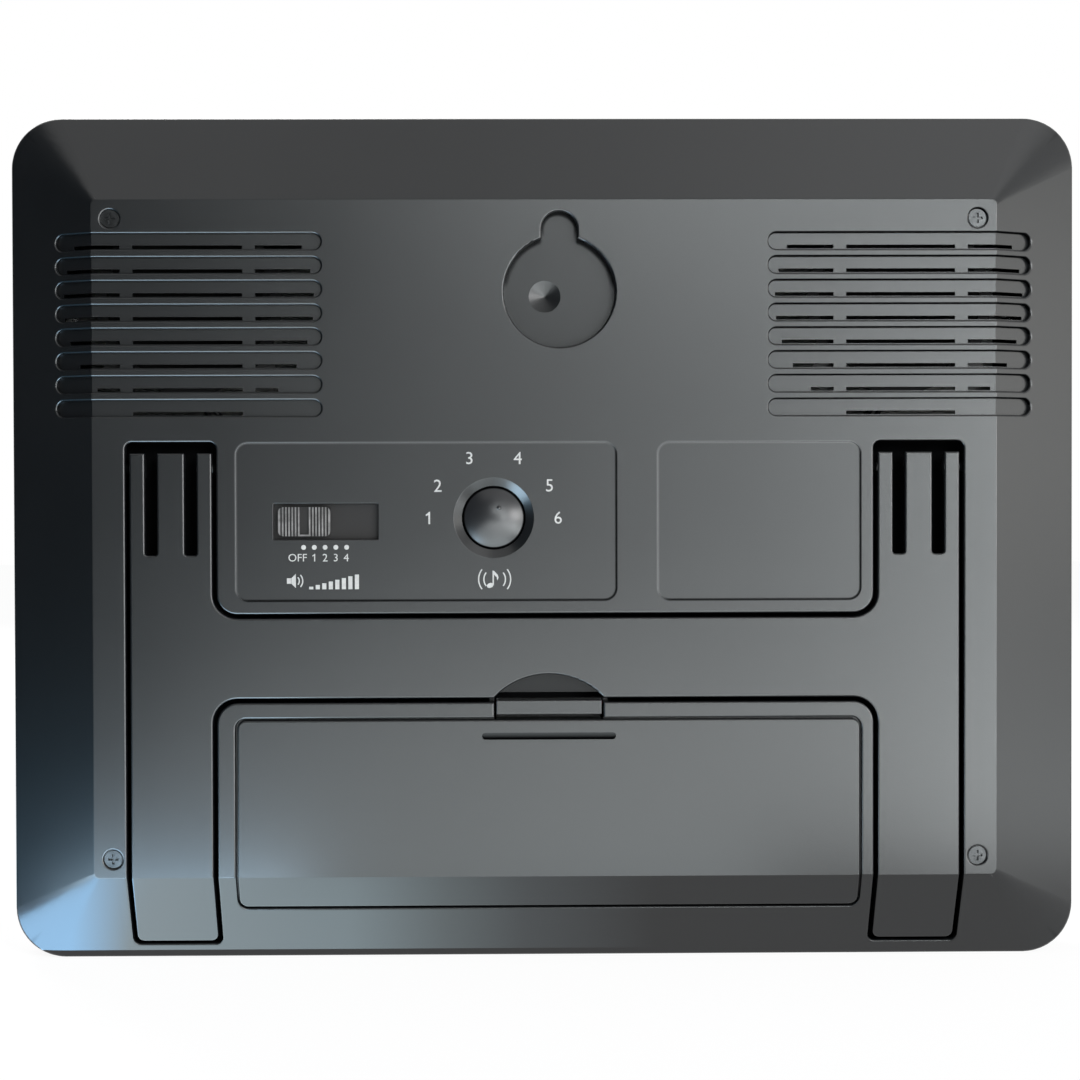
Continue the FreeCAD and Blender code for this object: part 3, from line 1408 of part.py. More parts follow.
def make_speaker_magnet(side):
    """Magnet with its front plate, and a ring gap for the voice coil."""
    front = speaker_depth - magnet_height
    pole = former_radius - pole_gap
    gap_floor = speaker_depth - yoke
    return speaker_profile(side, [
        (voice_gap, front), (magnet_radius, front), (magnet_radius, speaker_depth),
        (0, speaker_depth), (0, front), (pole, front), (pole, gap_floor),
        (voice_gap, gap_floor)])


def make_speaker_screws():
    seat = y_inside - speaker_seat - speaker_flange
    screws = []
    for side, _ in speaker_places:
        for x, z in speaker_screws(side):
            screws.append(board_screw(x, z, seat, -1, clamp_grip, clamp_head_radius))
    return Part.makeCompound(screws)


# ================================================================ leads
def lead(points, radius):
    """Insulated lead: straight runs joined by tangent arcs as large as the runs allow."""
    points = [V(*p) for p in points]
    edges = []
    last = points[0]
    smallest = big
    for a, b, c in zip(points, points[1:], points[2:]):
        back = (a - b).normalize()
        ahead = (c - b).normalize()
        turn = math.pi - back.getAngle(ahead)
        shorter = min((a - b).Length, (c - b).Length)
        trim = 0.45 * shorter
        smallest = min(smallest, trim / math.tan(turn / 2))
        start = b + back * trim
        end = b + ahead * trim
        middle_way = (back + ahead).normalize()
        arc_radius = trim / math.tan(turn / 2)
        centre = b + middle_way * (arc_radius / math.cos(turn / 2))
        middle = centre - middle_way * arc_radius
        edges.append(Part.LineSegment(last, start).toShape())
        edges.append(Part.Arc(start, middle, end).toShape())
        last = end
    edges.append(Part.LineSegment(last, points[-1]).toShape())
    path = Part.Wire(edges)
    heading = (points[1] - points[0]).normalize()
    ring = Part.Wire(Part.makeCircle(radius, points[0], heading))
    tube = path.makePipeShell([ring], True, False)
    print("lead: length %.1f, smallest bend %.1f, section times length %.1f, volume %.1f"
          % (path.Length, smallest, math.pi * radius ** 2 * path.Length, tube.Volume))
    return tube


def make_battery_leads():
    """From the contacts' tabs, over the top of the bay, to the socket on the main board."""
    y = main_board_back + socket_height / 2
    left_tip = bay_left + bay_wall + tab_reach
    right_tip = bay_right - bay_wall - tab_reach
    x, z, _ = battery_socket
    low = z - socket_depth / 2
    turn_z = low - lead_run
    over = bay_high + bay_wall + lead_over_bay
    plus_x, minus_x = x + lead_spacing / 2, x - lead_spacing / 2
    plus = [(left_tip, tab_y, tab_z), (left_tip + lead_run, tab_y, tab_z),
            (left_tip + lead_run, tab_y, over - lead_run), (left_tip + lead_slack, y, over + 1),
            (plus_x + 2 * lead_run, y, over + lead_slack), (plus_x, y, turn_z), (plus_x, y, low)]
    minus = [(right_tip, tab_y, tab_z), (right_tip - lead_run, tab_y, tab_z),
             (right_tip - lead_run, tab_y, over - lead_run), (right_tip + lead_run, y, over)]
    minus += [(station, y, over + drop) for station, drop in lead_sag]
    minus += [(minus_x, y, turn_z), (minus_x, y, low)]
    return Part.makeCompound([lead(plus, lead_radius), lead(minus, lead_radius)])


def make_speaker_leads():
    """From the tags under the speakers to a socket on each side of the main board."""
    leads = []
    y = main_board_back + socket_height / 2
    start_y = y_inside - speaker_seat - (speaker_depth - magnet_height)
    start_z = speaker_z - terminal_reach + 1.5
    end_x, end_z, _ = speaker_socket
    top = end_z + socket_depth / 2
    turn_z = top + lead_run
    for side, _ in speaker_places:
        for step in (-lead_spacing / 2, lead_spacing / 2):
            route = [(side * speaker_x + step, start_y, start_z),
                     (side * speaker_x + step, start_y - lead_run, start_z),
                     (side * (speaker_x - 3) + step, y + 2.5, start_z - 12),
                     (side * (speaker_x - 13) + step, y + 0.5, turn_z + 6 - side * step),
                     (side * (end_x + 11), y, turn_z + 1 - side * step),
                     (side * end_x + step, y, turn_z - side * step),
                     (side * end_x + step, y, top)]
            leads.append(lead(route, lead_radius))
    return Part.makeCompound(leads)


def make_control_leads():
    """From the control board, over the top of its socket, to the main board."""
    leads = []
    y = main_board_back + socket_height / 2
    end_x, end_z, _ = control_socket
    top = end_z + socket_depth / 2
    turn_z = top + lead_run
    turn_y = control_board_front - lead_run
    for i in range(control_lead_count):
        end = end_x + (i - (control_lead_count - 1) / 2) * lead_spacing
        start = end + control_lead_shift
        route = [(start, control_board_front, top), (start, turn_y, top),
                 (start - lead_slack, turn_y, turn_z), (end, y, turn_z), (end, y, top)]
        leads.append(lead(route, lead_radius))
    return Part.makeCompound(leads)


def make_button_leads():
    """Up the side of the casing from the button board to the edge of the main board."""
    leads = []
    y = main_board_back + socket_height / 2
    end_x, end_z, width = button_socket
    start_z = button_z + 3
    for i in range(button_lead_count):
        step = (i - (button_lead_count - 1) / 2) * lead_spacing
        x = button_lead_x + step
        route = [(x, button_board_back, start_z), (x, button_board_back + lead_run, start_z),
                 (x - lead_slack / 2, y, start_z + 13), (x - lead_slack, y, start_z + 33),
                 (x + lead_slack, y, end_z - 14 + step), (x + 9, y, end_z + step),
                 (end_x - width / 2, y, end_z + step)]
        leads.append(lead(route, lead_radius))
    return Part.makeCompound(leads)


# ================================================================ write the nodes
nodes = {
    "front_bezel": make_front_bezel(),
    "window_lens": make_window_lens(),
    "lcd_panel": make_lcd_panel(),
    "light_guide": make_light_guide(),
    "lcd_frame": make_lcd_frame(),
    "lcd_frame_screws": make_lcd_frame_screws(),
    "lcd_ribbon": make_lcd_ribbon(),
    "main_board": make_main_board(),
    "main_board_screws": make_main_board_screws(),
    "clock_chip": chip(**clock_chip),
    "sound_chip": chip(**sound_chip),
    "amplifier_chip": chip(**amplifier_chip),
    "capacitors": make_capacitors(),
    "quartz_crystal": make_quartz_crystal(),
    "lead_sockets": make_lead_sockets(),
    "button_board": make_button_board(),
    "button_board_screws": make_button_board_screws(),
    "tact_switches": make_tact_switches(),
    "control_board": make_control_board(),
    "control_board_screws": make_control_board_screws(),
    "rear_cover": make_rear_cover(),
    "case_screws": make_case_screws(),
    "stand": make_stand(),
    "battery_door": make_battery_door(),
    "battery_latch": make_battery_latch(),
    "battery_cells": make_battery_cells(),
    "positive_contact": make_positive_contact(),
    "negative_contact": make_negative_contact(),
    "volume_slider": make_volume_slider(),
    "volume_switch": make_volume_switch(),
    "volume_switch_lever": make_volume_switch_lever(),
    "selector_knob": make_selector_knob(),
    "selector_shaft": make_selector_shaft(),
    "selector_switch": make_selector_switch(),
    "speaker_screws": make_speaker_screws(),
    "battery_leads": make_battery_leads(),
    "speaker_leads": make_speaker_leads(),
    "control_leads": make_control_leads(),
    "button_leads": make_button_leads(),
}
for number, place in enumerate(button_places, 1):
    nodes["button_%d" % number] = make_button(place)
for side, word in speaker_places:
    nodes["speaker_frame_" + word] = make_speaker_frame(side)
    nodes["speaker_cone_" + word] = make_speaker_cone(side)
    nodes["speaker_magnet_" + word] = make_speaker_magnet(side)

for name, shape in nodes.items():
    shape.exportStep("parts/%s.step" % name)
    print("%-22s solids %d valid %s volume %.1f"
          % (name, len(shape.Solids), shape.isValid(), shape.Volume))
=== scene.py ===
import math

import bmesh
import bpy
from mathutils import Matrix, Vector


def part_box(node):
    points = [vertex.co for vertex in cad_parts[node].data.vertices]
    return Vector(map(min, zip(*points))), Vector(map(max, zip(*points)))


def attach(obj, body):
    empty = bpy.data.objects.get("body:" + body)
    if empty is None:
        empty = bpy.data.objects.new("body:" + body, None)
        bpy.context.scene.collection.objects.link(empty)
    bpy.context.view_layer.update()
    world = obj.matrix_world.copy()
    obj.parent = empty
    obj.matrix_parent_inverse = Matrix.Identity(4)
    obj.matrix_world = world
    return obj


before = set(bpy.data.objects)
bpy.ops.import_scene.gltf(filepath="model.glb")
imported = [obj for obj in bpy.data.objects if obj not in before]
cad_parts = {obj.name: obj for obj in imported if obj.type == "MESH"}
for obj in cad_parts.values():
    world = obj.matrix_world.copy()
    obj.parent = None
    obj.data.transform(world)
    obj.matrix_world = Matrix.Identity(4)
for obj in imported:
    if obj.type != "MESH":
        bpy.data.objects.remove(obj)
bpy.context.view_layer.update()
MM = 0.001


# ================ rear cover
# The back half of the case: one dark grey ABS moulding with sloping borders, speaker
# grooves, a keyhole recess and channels for the stand. Its spark-eroded tool leaves a
# fine satin grain, and four screws hold it to the front.
rear_face, flat_half_width, flat_half_height, flat_middle = 21.0, 121.4, 90.9, 114.5
border_slope = 14.0 / 23.6
painted_shade_from, painted_shade_to = 1.9, 3.4  # depths between which painted shade turns a recess black
# The last value is the share of painted shade left inside the keyhole's recess.
hanger_x, hanger_z, hanger_reach, hanger_shade_share = -3.9, 183.0, 19.0, 0.22
# The keyhole's walls: centre's z, radius, and where within it the painted shade starts and is
# full.
hanger_circle, hanger_top = (180.8, 15.0, 1.7, 0.5), (197.6, 4.7, 1.1, 0.3)
neck_half, neck_fade = 5.0, 3.0
grooves_x, groove_bottom, lip_shade_slant = -40.0, 145.0, (-0.08, -0.35)  # where shade is painted on the grooves' lips
notch_x, notch_half_width = -0.8, 16.0
notch_parts = ((75.9, 3.1, 0.62), (68.7, 2.5, 0.20))  # middle, half height, share of the painted shade kept
panels = ((-19.0, 83.0), (-84.7, -30.2))  # both step down into the flat back
panel_bottom, panel_top, panel_radius = 98.0, 140.3, 3.2
# Painted shade and painted highlight beside the panels' steps: line width, highlight colour,
# share of black for the shade.
step_line, step_highlight, step_shade = (0.15, 0.5), (0.068, 0.070, 0.072), 0.9
# The near black of painted shade.
painted_shade_black = (0.0035, 0.0037, 0.0040)
case_grey, case_grey_worn = (0.0068, 0.0078, 0.0087), (0.0084, 0.0095, 0.0104)
grain_pits, grain_patches = 2600.0, 16.0  # both per metre


def feed(tree, node, inputs):
    """Gives inputs of a node a number, a colour of three values or another node's output."""
    for label, given in inputs.items():
        socket = node.inputs[label]
        if isinstance(given, bpy.types.NodeSocket):
            tree.links.new(given, socket)
        elif socket.type == "RGBA":
            socket.default_value = (*given, 1.0)
        else:
            socket.default_value = given


def add_node(tree, kind, inputs=None, **settings):
    """A new node of this kind; its settings come first, because they make its inputs."""
    node = tree.nodes.new(kind)
    for setting, value in settings.items():
        setattr(node, setting, value)
    feed(tree, node, inputs or {})
    return node


def new_group(name, kind, inputs, outputs):
    """A node group with its two ends. Its sockets are given as name and kind."""
    group = bpy.data.node_groups.new(name, kind + "NodeTree")
    for way, sockets in (("INPUT", inputs), ("OUTPUT", outputs)):
        for label, sort in sockets.items():
            group.interface.new_socket(label, in_out=way, socket_type="NodeSocket" + sort)
    return group, add_node(group, "NodeGroupInput").outputs, add_node(group, "NodeGroupOutput")


def object_vector(tree):
    """The shaded point in the part's own coordinates."""
    return add_node(tree, "ShaderNodeTexCoord").outputs["Object"]


def split(tree, vector):
    """X, Y and Z of a vector."""
    return add_node(tree, "ShaderNodeSeparateXYZ", {0: vector}).outputs


def object_place(tree):
    """X, Y and Z of the shaded point in the part's own coordinates."""
    return split(tree, object_vector(tree))


def noise(tree, scale, detail=2.0, roughness=0.5):
    """Noise over the part's own coordinates."""
    return add_node(tree, "ShaderNodeTexNoise", {
        "Vector": object_vector(tree), "Scale": scale, "Detail": detail,
        "Roughness": roughness}).outputs["Fac"]


def spark_grain_group():
    """Grain of a spark-eroded mould: fine pits for the bump and slow changes of sheen."""
    group, given, result = new_group(
        "spark_grain", "Shader", {"Pits per metre": "Float", "Patches per metre": "Float"},
        {"Height": "Float", "Patch": "Float"})
    feed(group, result, {"Height": noise(group, given["Pits per metre"], 3.0, 0.6),
                         "Patch": noise(group, given["Patches per metre"], 4.0, 0.55)})
    return group


spark_grain = spark_grain_group()


def grain(tree, pits=grain_pits, patches=grain_patches):
    """The spark grain's height and patches, placed in a material."""
    rates = {"Pits per metre": pits, "Patches per metre": patches}
    return add_node(tree, "ShaderNodeGroup", rates, node_tree=spark_grain).outputs


def plain_material(name):
    """An empty node material, its tree and its Principled shader."""
    finish = bpy.data.materials.new(name)
    finish.use_nodes = True
    return finish, finish.node_tree, finish.node_tree.nodes["Principled BSDF"]


def tones(tree, share, *stops, change="LINEAR"):
    """The colours that a share picks from stops of a place and a colour."""
    ramp = add_node(tree, "ShaderNodeValToRGB", {"Fac": share})
    ramp.color_ramp.interpolation = change
    while len(ramp.color_ramp.elements) < len(stops):
        ramp.color_ramp.elements.new(0.5)
    for stop, (place, colour) in zip(ramp.color_ramp.elements, stops):
        stop.position = place
        stop.color = (*colour, 1.0)
    return ramp.outputs["Color"]


def fade(tree, value, start, end, low=0.0, high=1.0):
    """Runs from low to high while the value goes from start to end."""
    return add_node(tree, "ShaderNodeMapRange", {
        "Value": value, "From Min": start, "From Max": end, "To Min": low,
        "To Max": high}).outputs["Result"]


def relief(tree, height, depth):
    """The normal of a surface with this relief, its depth in millimetres."""
    bump = add_node(tree, "ShaderNodeBump", {"Height": height, "Distance": depth * MM})
    return bump.outputs["Normal"]


def grained(name, colour, second, roughness, pits=grain_pits, depth=0.012,
            patches=grain_patches, metallic=0.0, coat=0.0, specular=0.5):
    """Moulded or cast finish: two close tones in slow patches over a fine grain."""
    finish, tree, shader = plain_material(name)
    surface = grain(tree, pits, patches)
    feed(tree, shader, {
        "Base Color": tones(tree, surface["Patch"], (0.35, colour), (0.68, second)),
        "Roughness": fade(tree, surface["Patch"], 0.3, 0.7, roughness - 0.008,
                          roughness + 0.012),
        "Normal": relief(tree, surface["Height"], depth),
        "Metallic": metallic, "Coat Weight": coat, "Specular IOR Level": specular})
    return finish


def dress(finish, *names):
    """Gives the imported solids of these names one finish."""
    for name in names:
        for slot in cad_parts[name].material_slots:
            slot.material = finish


def sums(tree):
    """A short way to add math nodes to a tree: operation and values in, output back."""
    def maths(operation, *values):
        return add_node(tree, "ShaderNodeMath", dict(enumerate(values)),
                        operation=operation).outputs[0]

    return maths


def distance_from(maths, place, x, z):
    """Distance of the shaded point from an axis that runs from front to back."""
    aside = maths("SUBTRACT", place["X"], x * MM)
    above = maths("SUBTRACT", place["Z"], z * MM)
    return maths("SQRT", maths("MULTIPLY_ADD", aside, aside, maths("MULTIPLY", above, above)))


def in_box(maths, place, x, z, half_width, half_height):
    """1 within a rectangle on the back, else 0."""
    return maths("MULTIPLY", maths("COMPARE", place["X"], x * MM, half_width * MM),
                 maths("COMPARE", place["Z"], z * MM, half_height * MM))


def blend(tree, share, first, second):
    """The first colour where the share is 0, the second where it is 1."""
    return add_node(tree, "ShaderNodeMix", {"Factor": share, "A": first, "B": second},
                    data_type="RGBA").outputs["Result"]


def recolour(tree, shade, colour):
    """Where the shade is 1 the finish has this colour."""
    shader = tree.nodes["Principled BSDF"]
    before = shader.inputs["Base Color"].links[0].from_socket
    feed(tree, shader, {"Base Color": blend(tree, shade, before, colour)})


def leave_black(tree, shade):
    """Paints shade: where the shade is 1 the finish is matt and near black."""
    recolour(tree, shade, painted_shade_black)
    feed(tree, tree.nodes["Principled BSDF"],
         {"Specular IOR Level": fade(tree, shade, 0.0, 1.0, 0.5, 0.0)})


def hanger_lips(tree, maths, place):
    """Painted shade: 1 along the walls of the keyhole's circle, beside its neck, and of its
    top.
    """
    circle, top = [fade(tree, distance_from(maths, place, hanger_x, z),
                        (radius - start) * MM, (radius - full) * MM)
                   for z, radius, start, full in (hanger_circle, hanger_top)]
    circle_z, top_z = hanger_circle[0], hanger_top[0]
    beside = maths("ABSOLUTE", maths("SUBTRACT", place["X"], hanger_x * MM))
    band = maths("MULTIPLY", circle, maths(
        "MULTIPLY", fade(tree, place["Z"], circle_z * MM, (circle_z + neck_fade) * MM),
        fade(tree, beside, (neck_half - 1.0) * MM, neck_half * MM)))
    arch = maths("MULTIPLY", top,
                 fade(tree, place["Z"], (top_z - neck_fade) * MM, top_z * MM))
    return maths("MAXIMUM", band, arch)


def step_of_panel(tree, maths, place, low_x, high_x):
    """Painted shade along a panel's step towards -X and down, painted highlight the other way.
    """
    past, lean = [], []
    for axis, low, high in (("X", low_x, high_x), ("Z", panel_bottom, panel_top)):
        from_middle = maths("SUBTRACT", place[axis], (low + high) / 2 * MM)
        over = maths("MAXIMUM", maths("SUBTRACT", maths("ABSOLUTE", from_middle),
                                      ((high - low) / 2 - panel_radius) * MM), 0.0)
        past.append(over)
        lean.append(maths("MULTIPLY", over, maths("SIGN", from_middle)))
    reach = maths("SQRT", maths("MULTIPLY_ADD", past[0], past[0],
                                maths("MULTIPLY", past[1], past[1])))
    off = maths("ABSOLUTE", maths("SUBTRACT", reach, panel_radius * MM))
    line = fade(tree, off, step_line[0] * MM, step_line[1] * MM, 1.0, 0.0)
    lean = maths("ADD", *lean)
    return [maths("MULTIPLY", line, fade(tree, lean, 0.0, side * panel_radius * MM))
            for side in (-1, 1)]


def darken_recesses(tree):
    """Painted shade in deep channels (less in the hanger), on its walls, on one speaker's
    groove lips and beside panel steps; painted highlight on the steps' other sides.
    """
    maths, place = sums(tree), object_place(tree)
    past_x = maths("SUBTRACT", maths("ABSOLUTE", place["X"]), flat_half_width * MM)
    from_middle = maths("ABSOLUTE", maths("SUBTRACT", place["Z"], flat_middle * MM))
    past_z = maths("SUBTRACT", from_middle, flat_half_height * MM)
    past = maths("MAXIMUM", maths("MAXIMUM", past_x, past_z), 0.0)
    surface = maths("MULTIPLY_ADD", past, -border_slope, rear_face * MM)
    # Painted shade: black below these depths, less inside the keyhole.
    deep = fade(tree, maths("SUBTRACT", surface, place["Y"]), painted_shade_from * MM, painted_shade_to * MM)
    away = fade(tree, distance_from(maths, place, hanger_x, hanger_z), hanger_reach * MM,
                (hanger_reach + 1.0) * MM, hanger_shade_share)
    shade = maths("MULTIPLY", deep, away)
    for middle, half_height, left in notch_parts:
        inside = in_box(maths, place, notch_x, middle, notch_half_width, half_height)
        shade = maths("MULTIPLY", shade, maths("MULTIPLY_ADD", inside, left - 1.0, 1.0))
    # Painted shade on the keyhole's upper walls.
    keyhole_shade = maths("MULTIPLY", deep, maths("MULTIPLY", hanger_lips(tree, maths, place),
                                              maths("SUBTRACT", 1.0, away)))
    shade = maths("MAXIMUM", shade, keyhole_shade)

    # Painted shade on the downward-facing lips of the grooves on the -X speaker.
    facing = split(tree, add_node(tree, "ShaderNodeNewGeometry").outputs["Normal"])
    at_grooves = maths("MULTIPLY", fade(tree, place["X"], grooves_x * MM,
                                        (grooves_x - 10.0) * MM),
                       fade(tree, place["Z"], groove_bottom * MM, (groove_bottom + 1.0) * MM))
    lips = maths("MULTIPLY", fade(tree, facing["Z"], *lip_shade_slant), at_grooves)
    shade = maths("MAXIMUM", shade, maths("MULTIPLY", lips, maths("LESS_THAN", past_z, 0.0)))
    # Along each panel's step: painted highlight (pale) on one side, painted shade (dark) on the
    # other.
    for sides in panels:
        dark, pale = step_of_panel(tree, maths, place, *sides)
        recolour(tree, pale, step_highlight)
        shade = maths("MAXIMUM", shade, maths("MULTIPLY", dark, step_shade))
    leave_black(tree, shade)


case_plastic = grained("case_plastic", case_grey, case_grey_worn, 0.29)
cover_plastic = grained("cover_plastic", case_grey, case_grey_worn, 0.29)
# The cover's colour carries painted shade in its recesses and painted highlights along its
# panel steps.
darken_recesses(cover_plastic.node_tree)
dress(cover_plastic, "rear_cover")


# ================ front bezel
# The front half of the case, from the same dark ABS. It carries the lens on a ledge,
# the keys in seven openings and the bosses that the four case screws bite into.
dress(case_plastic, "front_bezel")


# ================ window lens
# A flat sheet of clear acrylic, die cut and stuck on the bezel's ledge. Its back is
# screen printed with a black border and one silver line round the window.
lens_low, lens_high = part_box("window_lens")
print_depth, print_thickness = 0.01, 0.03
print_back = lens_high.y / MM - print_depth
window_left, window_bottom, window_top, window_radius = 122.0, 46.0, 188.0, 3.0
border_margin, border_radius = 0.1, 5.0
line_out, line_width, line_radii, line_depth = 2.2, 0.7, (5.0, 4.4), 0.04


def choose_surface(tree, end, share, first, second):
    """Ends a tree with its first shader where the share is 0, the second where it is 1."""
    choose = add_node(tree, "ShaderNodeMixShader",
                      {"Fac": share, 1: first.outputs[0], 2: second.outputs[0]})
    feed(tree, tree.nodes[end], {"Surface": choose.outputs[0]})


def clear_sheet(name, colour, ior):
    """Clear plastic with faint wiping marks; lamps reach what lies behind it."""
    finish, tree, shader = plain_material(name)
    feed(tree, shader, {
        "Base Color": colour, "Transmission Weight": 1.0, "IOR": ior,
        "Roughness": fade(tree, noise(tree, 22.0, 5.0), 0.35, 0.75, 0.01, 0.05)})
    through = add_node(tree, "ShaderNodeBsdfTransparent", {"Color": colour})
    shadow = add_node(tree, "ShaderNodeLightPath").outputs["Is Shadow Ray"]
    choose_surface(tree, "Material Output", shadow, shader, through)
    return finish


def rounded_outline(left, right, bottom, top, radius, steps=8):
    """Points of a rounded rectangle, anticlockwise."""
    points = []
    for cx, cz, start in ((right - radius, top - radius, 0), (left + radius, top - radius, 90),
                          (left + radius, bottom + radius, 180),
                          (right - radius, bottom + radius, 270)):
        for step in range(steps + 1):
            angle = math.radians(start + 90 * step / steps)
            points.append((cx + radius * math.cos(angle), cz + radius * math.sin(angle)))
    return points


def window_outline(out, radius):
    """The window's outline, or one this far outside it."""
    return rounded_outline(-window_left - out, window_left + out, window_bottom - out,
                           window_top + out, radius)


def place_object(name, data):
    """A new object in the scene."""
    thing = bpy.data.objects.new(name, data)
    bpy.context.scene.collection.objects.link(thing)
    return thing


def make_piece(name, shape, body, finish):
    """A finished shape as a piece of the object, riding on its body."""
    bmesh.ops.remove_doubles(shape, verts=shape.verts, dist=1e-8)
    bmesh.ops.recalc_face_normals(shape, faces=shape.faces)
    mesh = bpy.data.meshes.new(name)
    shape.to_mesh(mesh)
    shape.free()
    mesh.materials.clear()          # sets the faces back to the first slot as well
    mesh.materials.append(finish)
    piece = place_object(name, mesh)
    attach(piece, body)


def add_edges(shape, outlines, y0, y1):
    """The corners of outlines, at y0 and at y1."""
    return [[shape.verts.new((x * MM, y * MM, z * MM)) for x, z in outline]
            for outline in outlines for y in (y0, y1)]


def add_wall(shape, first, second):
    """A wall between two closed edges with as many corners each."""
    for i in range(len(first)):
        j = (i + 1) % len(first)
        shape.faces.new((first[i], first[j], second[j], second[i]))


def add_ring(shape, outer, inner, y0, y1):
    """A flat frame between two outlines, from y0 to y1."""
    edges = add_edges(shape, (outer, inner), y0, y1)
    for first, second in ((0, 1), (1, 3), (3, 2), (2, 0)):
        add_wall(shape, edges[first], edges[second])


def add_plate(shape, outline, y0, y1):
    """A flat plate with this outline, from y0 to y1."""
    ends = add_edges(shape, (outline,), y0, y1)
    for end in ends:
        shape.faces.new(end)
    add_wall(shape, *ends)


dress(clear_sheet("clear_acrylic", (0.97, 0.98, 0.98), 1.49), "window_lens")
black_border = bmesh.new()
add_ring(black_border,
         rounded_outline(lens_low.x / MM + border_margin, lens_high.x / MM - border_margin,
                         lens_low.z / MM + border_margin, lens_high.z / MM - border_margin,
                         border_radius),
         window_outline(0.0, window_radius), print_back - print_thickness, print_back)
make_piece("lens_border_print", black_border, "case",
           grained("border_ink", (0.006, 0.006, 0.007), (0.010, 0.010, 0.012), 0.3))
silver_line = bmesh.new()
line_back = print_back - line_depth
add_ring(silver_line, window_outline(line_out, line_radii[0]),
         window_outline(line_out - line_width, line_radii[1]), line_back - print_thickness,
         line_back)
make_piece("lens_line_print", silver_line, "case",
           grained("silver_ink", (0.55, 0.56, 0.57), (0.62, 0.63, 0.64), 0.32, metallic=0.7))


# ================ liquid crystal
# A segment display: two sheets of glass with the liquid crystal between them and a
# polariser on the front. Lit segments are dark, the others show as a faint shade.
lcd_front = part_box("lcd_panel")[0].y
segment_lift, segment_thickness = 0.05, 0.02
segment_front = lcd_front / MM - segment_lift
digit_width, digit_pitch = 0.46, 0.72  # these and the next are shares of the height
segment_width, colon_half, colon_places = 0.104, 0.075, (0.3, 0.7)
segment_gap, colon_corner = 0.3, 0.3   # shares of the segment's width and the colon's half
lean = math.radians(6.0)
lit_segments = {"0": "abcdef", "1": "bc", "2": "abdeg", "3": "abcdg", "4": "bcfg",
                "5": "acdfg", "6": "acdefg", "7": "abc", "8": "abcdefg", "9": "abcdfg"}
segment_spots = {"a": (0.5, 1.0, 0), "b": (1.0, 0.75, 90), "c": (1.0, 0.25, 90),
                 "d": (0.5, 0.0, 0), "e": (0.0, 0.25, 90), "f": (0.0, 0.75, 90),
                 "g": (0.5, 0.5, 0)}  # shares of width and height, and the angle
big, middling, small = (97.0, 52.0), (97.0, 30.0), (58.0, 14.0)  # z and height
display_rows = (("24 11 2026", -107.0, 163.0, 15.0), ("21", 72.0, 163.0, 15.0),
                ("10", -107.0, *big), ("08", -24.0, *big), ("36", 66.0, *middling),
                ("5", -113.5, *small), ("12", -103.0, *small), ("12", -64.5, *small),
                ("05", -41.5, *small), ("3", -6.0, *small), ("24", 6.0, *small),
                ("5", 43.5, *small), ("52", 55.5, *small), ("7", 92.0, *small),
                ("16", 101.5, *small))
colons = ((-32.6, *big), (-104.6, *small), (-43.2, *small), (4.4, *small), (53.9, *small),
          (102.2, *small))
ruled_lines = ((-117.0, 117.0, 84.0, 84.6), (-117.0, 117.0, 155.8, 156.4),
               *((x - 0.3, x + 0.3, 50.0, 84.0) for x in (-70.0, -21.0, 28.0, 77.0)))


def real_copies(tree, finish, result, **placing):
    """Ends a tree with one real copy at each point, all with one finish."""
    spread = add_node(tree, "GeometryNodeInstanceOnPoints", placing)
    real = add_node(tree, "GeometryNodeRealizeInstances", {0: spread.outputs[0]})
    paint = add_node(tree, "GeometryNodeSetMaterial", {"Geometry": real.outputs[0],
                                                       "Material": finish})
    feed(tree, result, {0: paint.outputs[0]})
    return tree


def segment_tree():
    """Geometry Nodes: a pointed bar at each point, turned by the point's own angle."""
    tree, given, result = new_group(
        "segments", "Geometry", {"Geometry": "Geometry", "Length": "Float", "Width": "Float",
                                 "Thickness": "Float", "Finish": "Material"},
        {"Geometry": "Geometry"})
    maths = sums(tree)
    radius = maths("DIVIDE", given["Width"], math.sqrt(3))
    bar = add_node(tree, "GeometryNodeMeshCircle", {"Vertices": 6, "Radius": radius},
                   fill_type="NGON")
    corner = add_node(tree, "GeometryNodeInputPosition").outputs[0]
    side = maths("SIGN", split(tree, corner)["X"])
    reach = maths("SUBTRACT", maths("MULTIPLY", given["Length"], 0.5), radius)
    shift = add_node(tree, "ShaderNodeCombineXYZ", {"X": maths("MULTIPLY", side, reach)})
    flat = add_node(tree, "GeometryNodeSetPosition", {"Geometry": bar.outputs["Mesh"],
                                                      "Offset": shift.outputs[0]}).outputs[0]
    walls = add_node(tree, "GeometryNodeExtrudeMesh", {"Mesh": flat,
                                                       "Offset Scale": given["Thickness"]})
    back = add_node(tree, "GeometryNodeFlipFaces", {"Mesh": flat})
    whole = add_node(tree, "GeometryNodeJoinGeometry", {0: back.outputs[0]})
    feed(tree, whole, {0: walls.outputs["Mesh"]})
    angle = add_node(tree, "GeometryNodeInputNamedAttribute", {"Name": "angle"},
                     data_type="FLOAT").outputs["Attribute"]
    turn = add_node(tree, "ShaderNodeCombineXYZ", {"Z": angle}).outputs[0]
    return real_copies(tree, given["Finish"], result, Points=given["Geometry"],
                       Instance=whole.outputs[0], Rotation=turn)


def real_mesh(holder):
    """The plain mesh of an object as evaluated. The object itself goes."""
    graph = bpy.context.evaluated_depsgraph_get()
    mesh = bpy.data.meshes.new_from_object(holder.evaluated_get(graph), depsgraph=graph)
    bpy.data.objects.remove(holder)
    return mesh


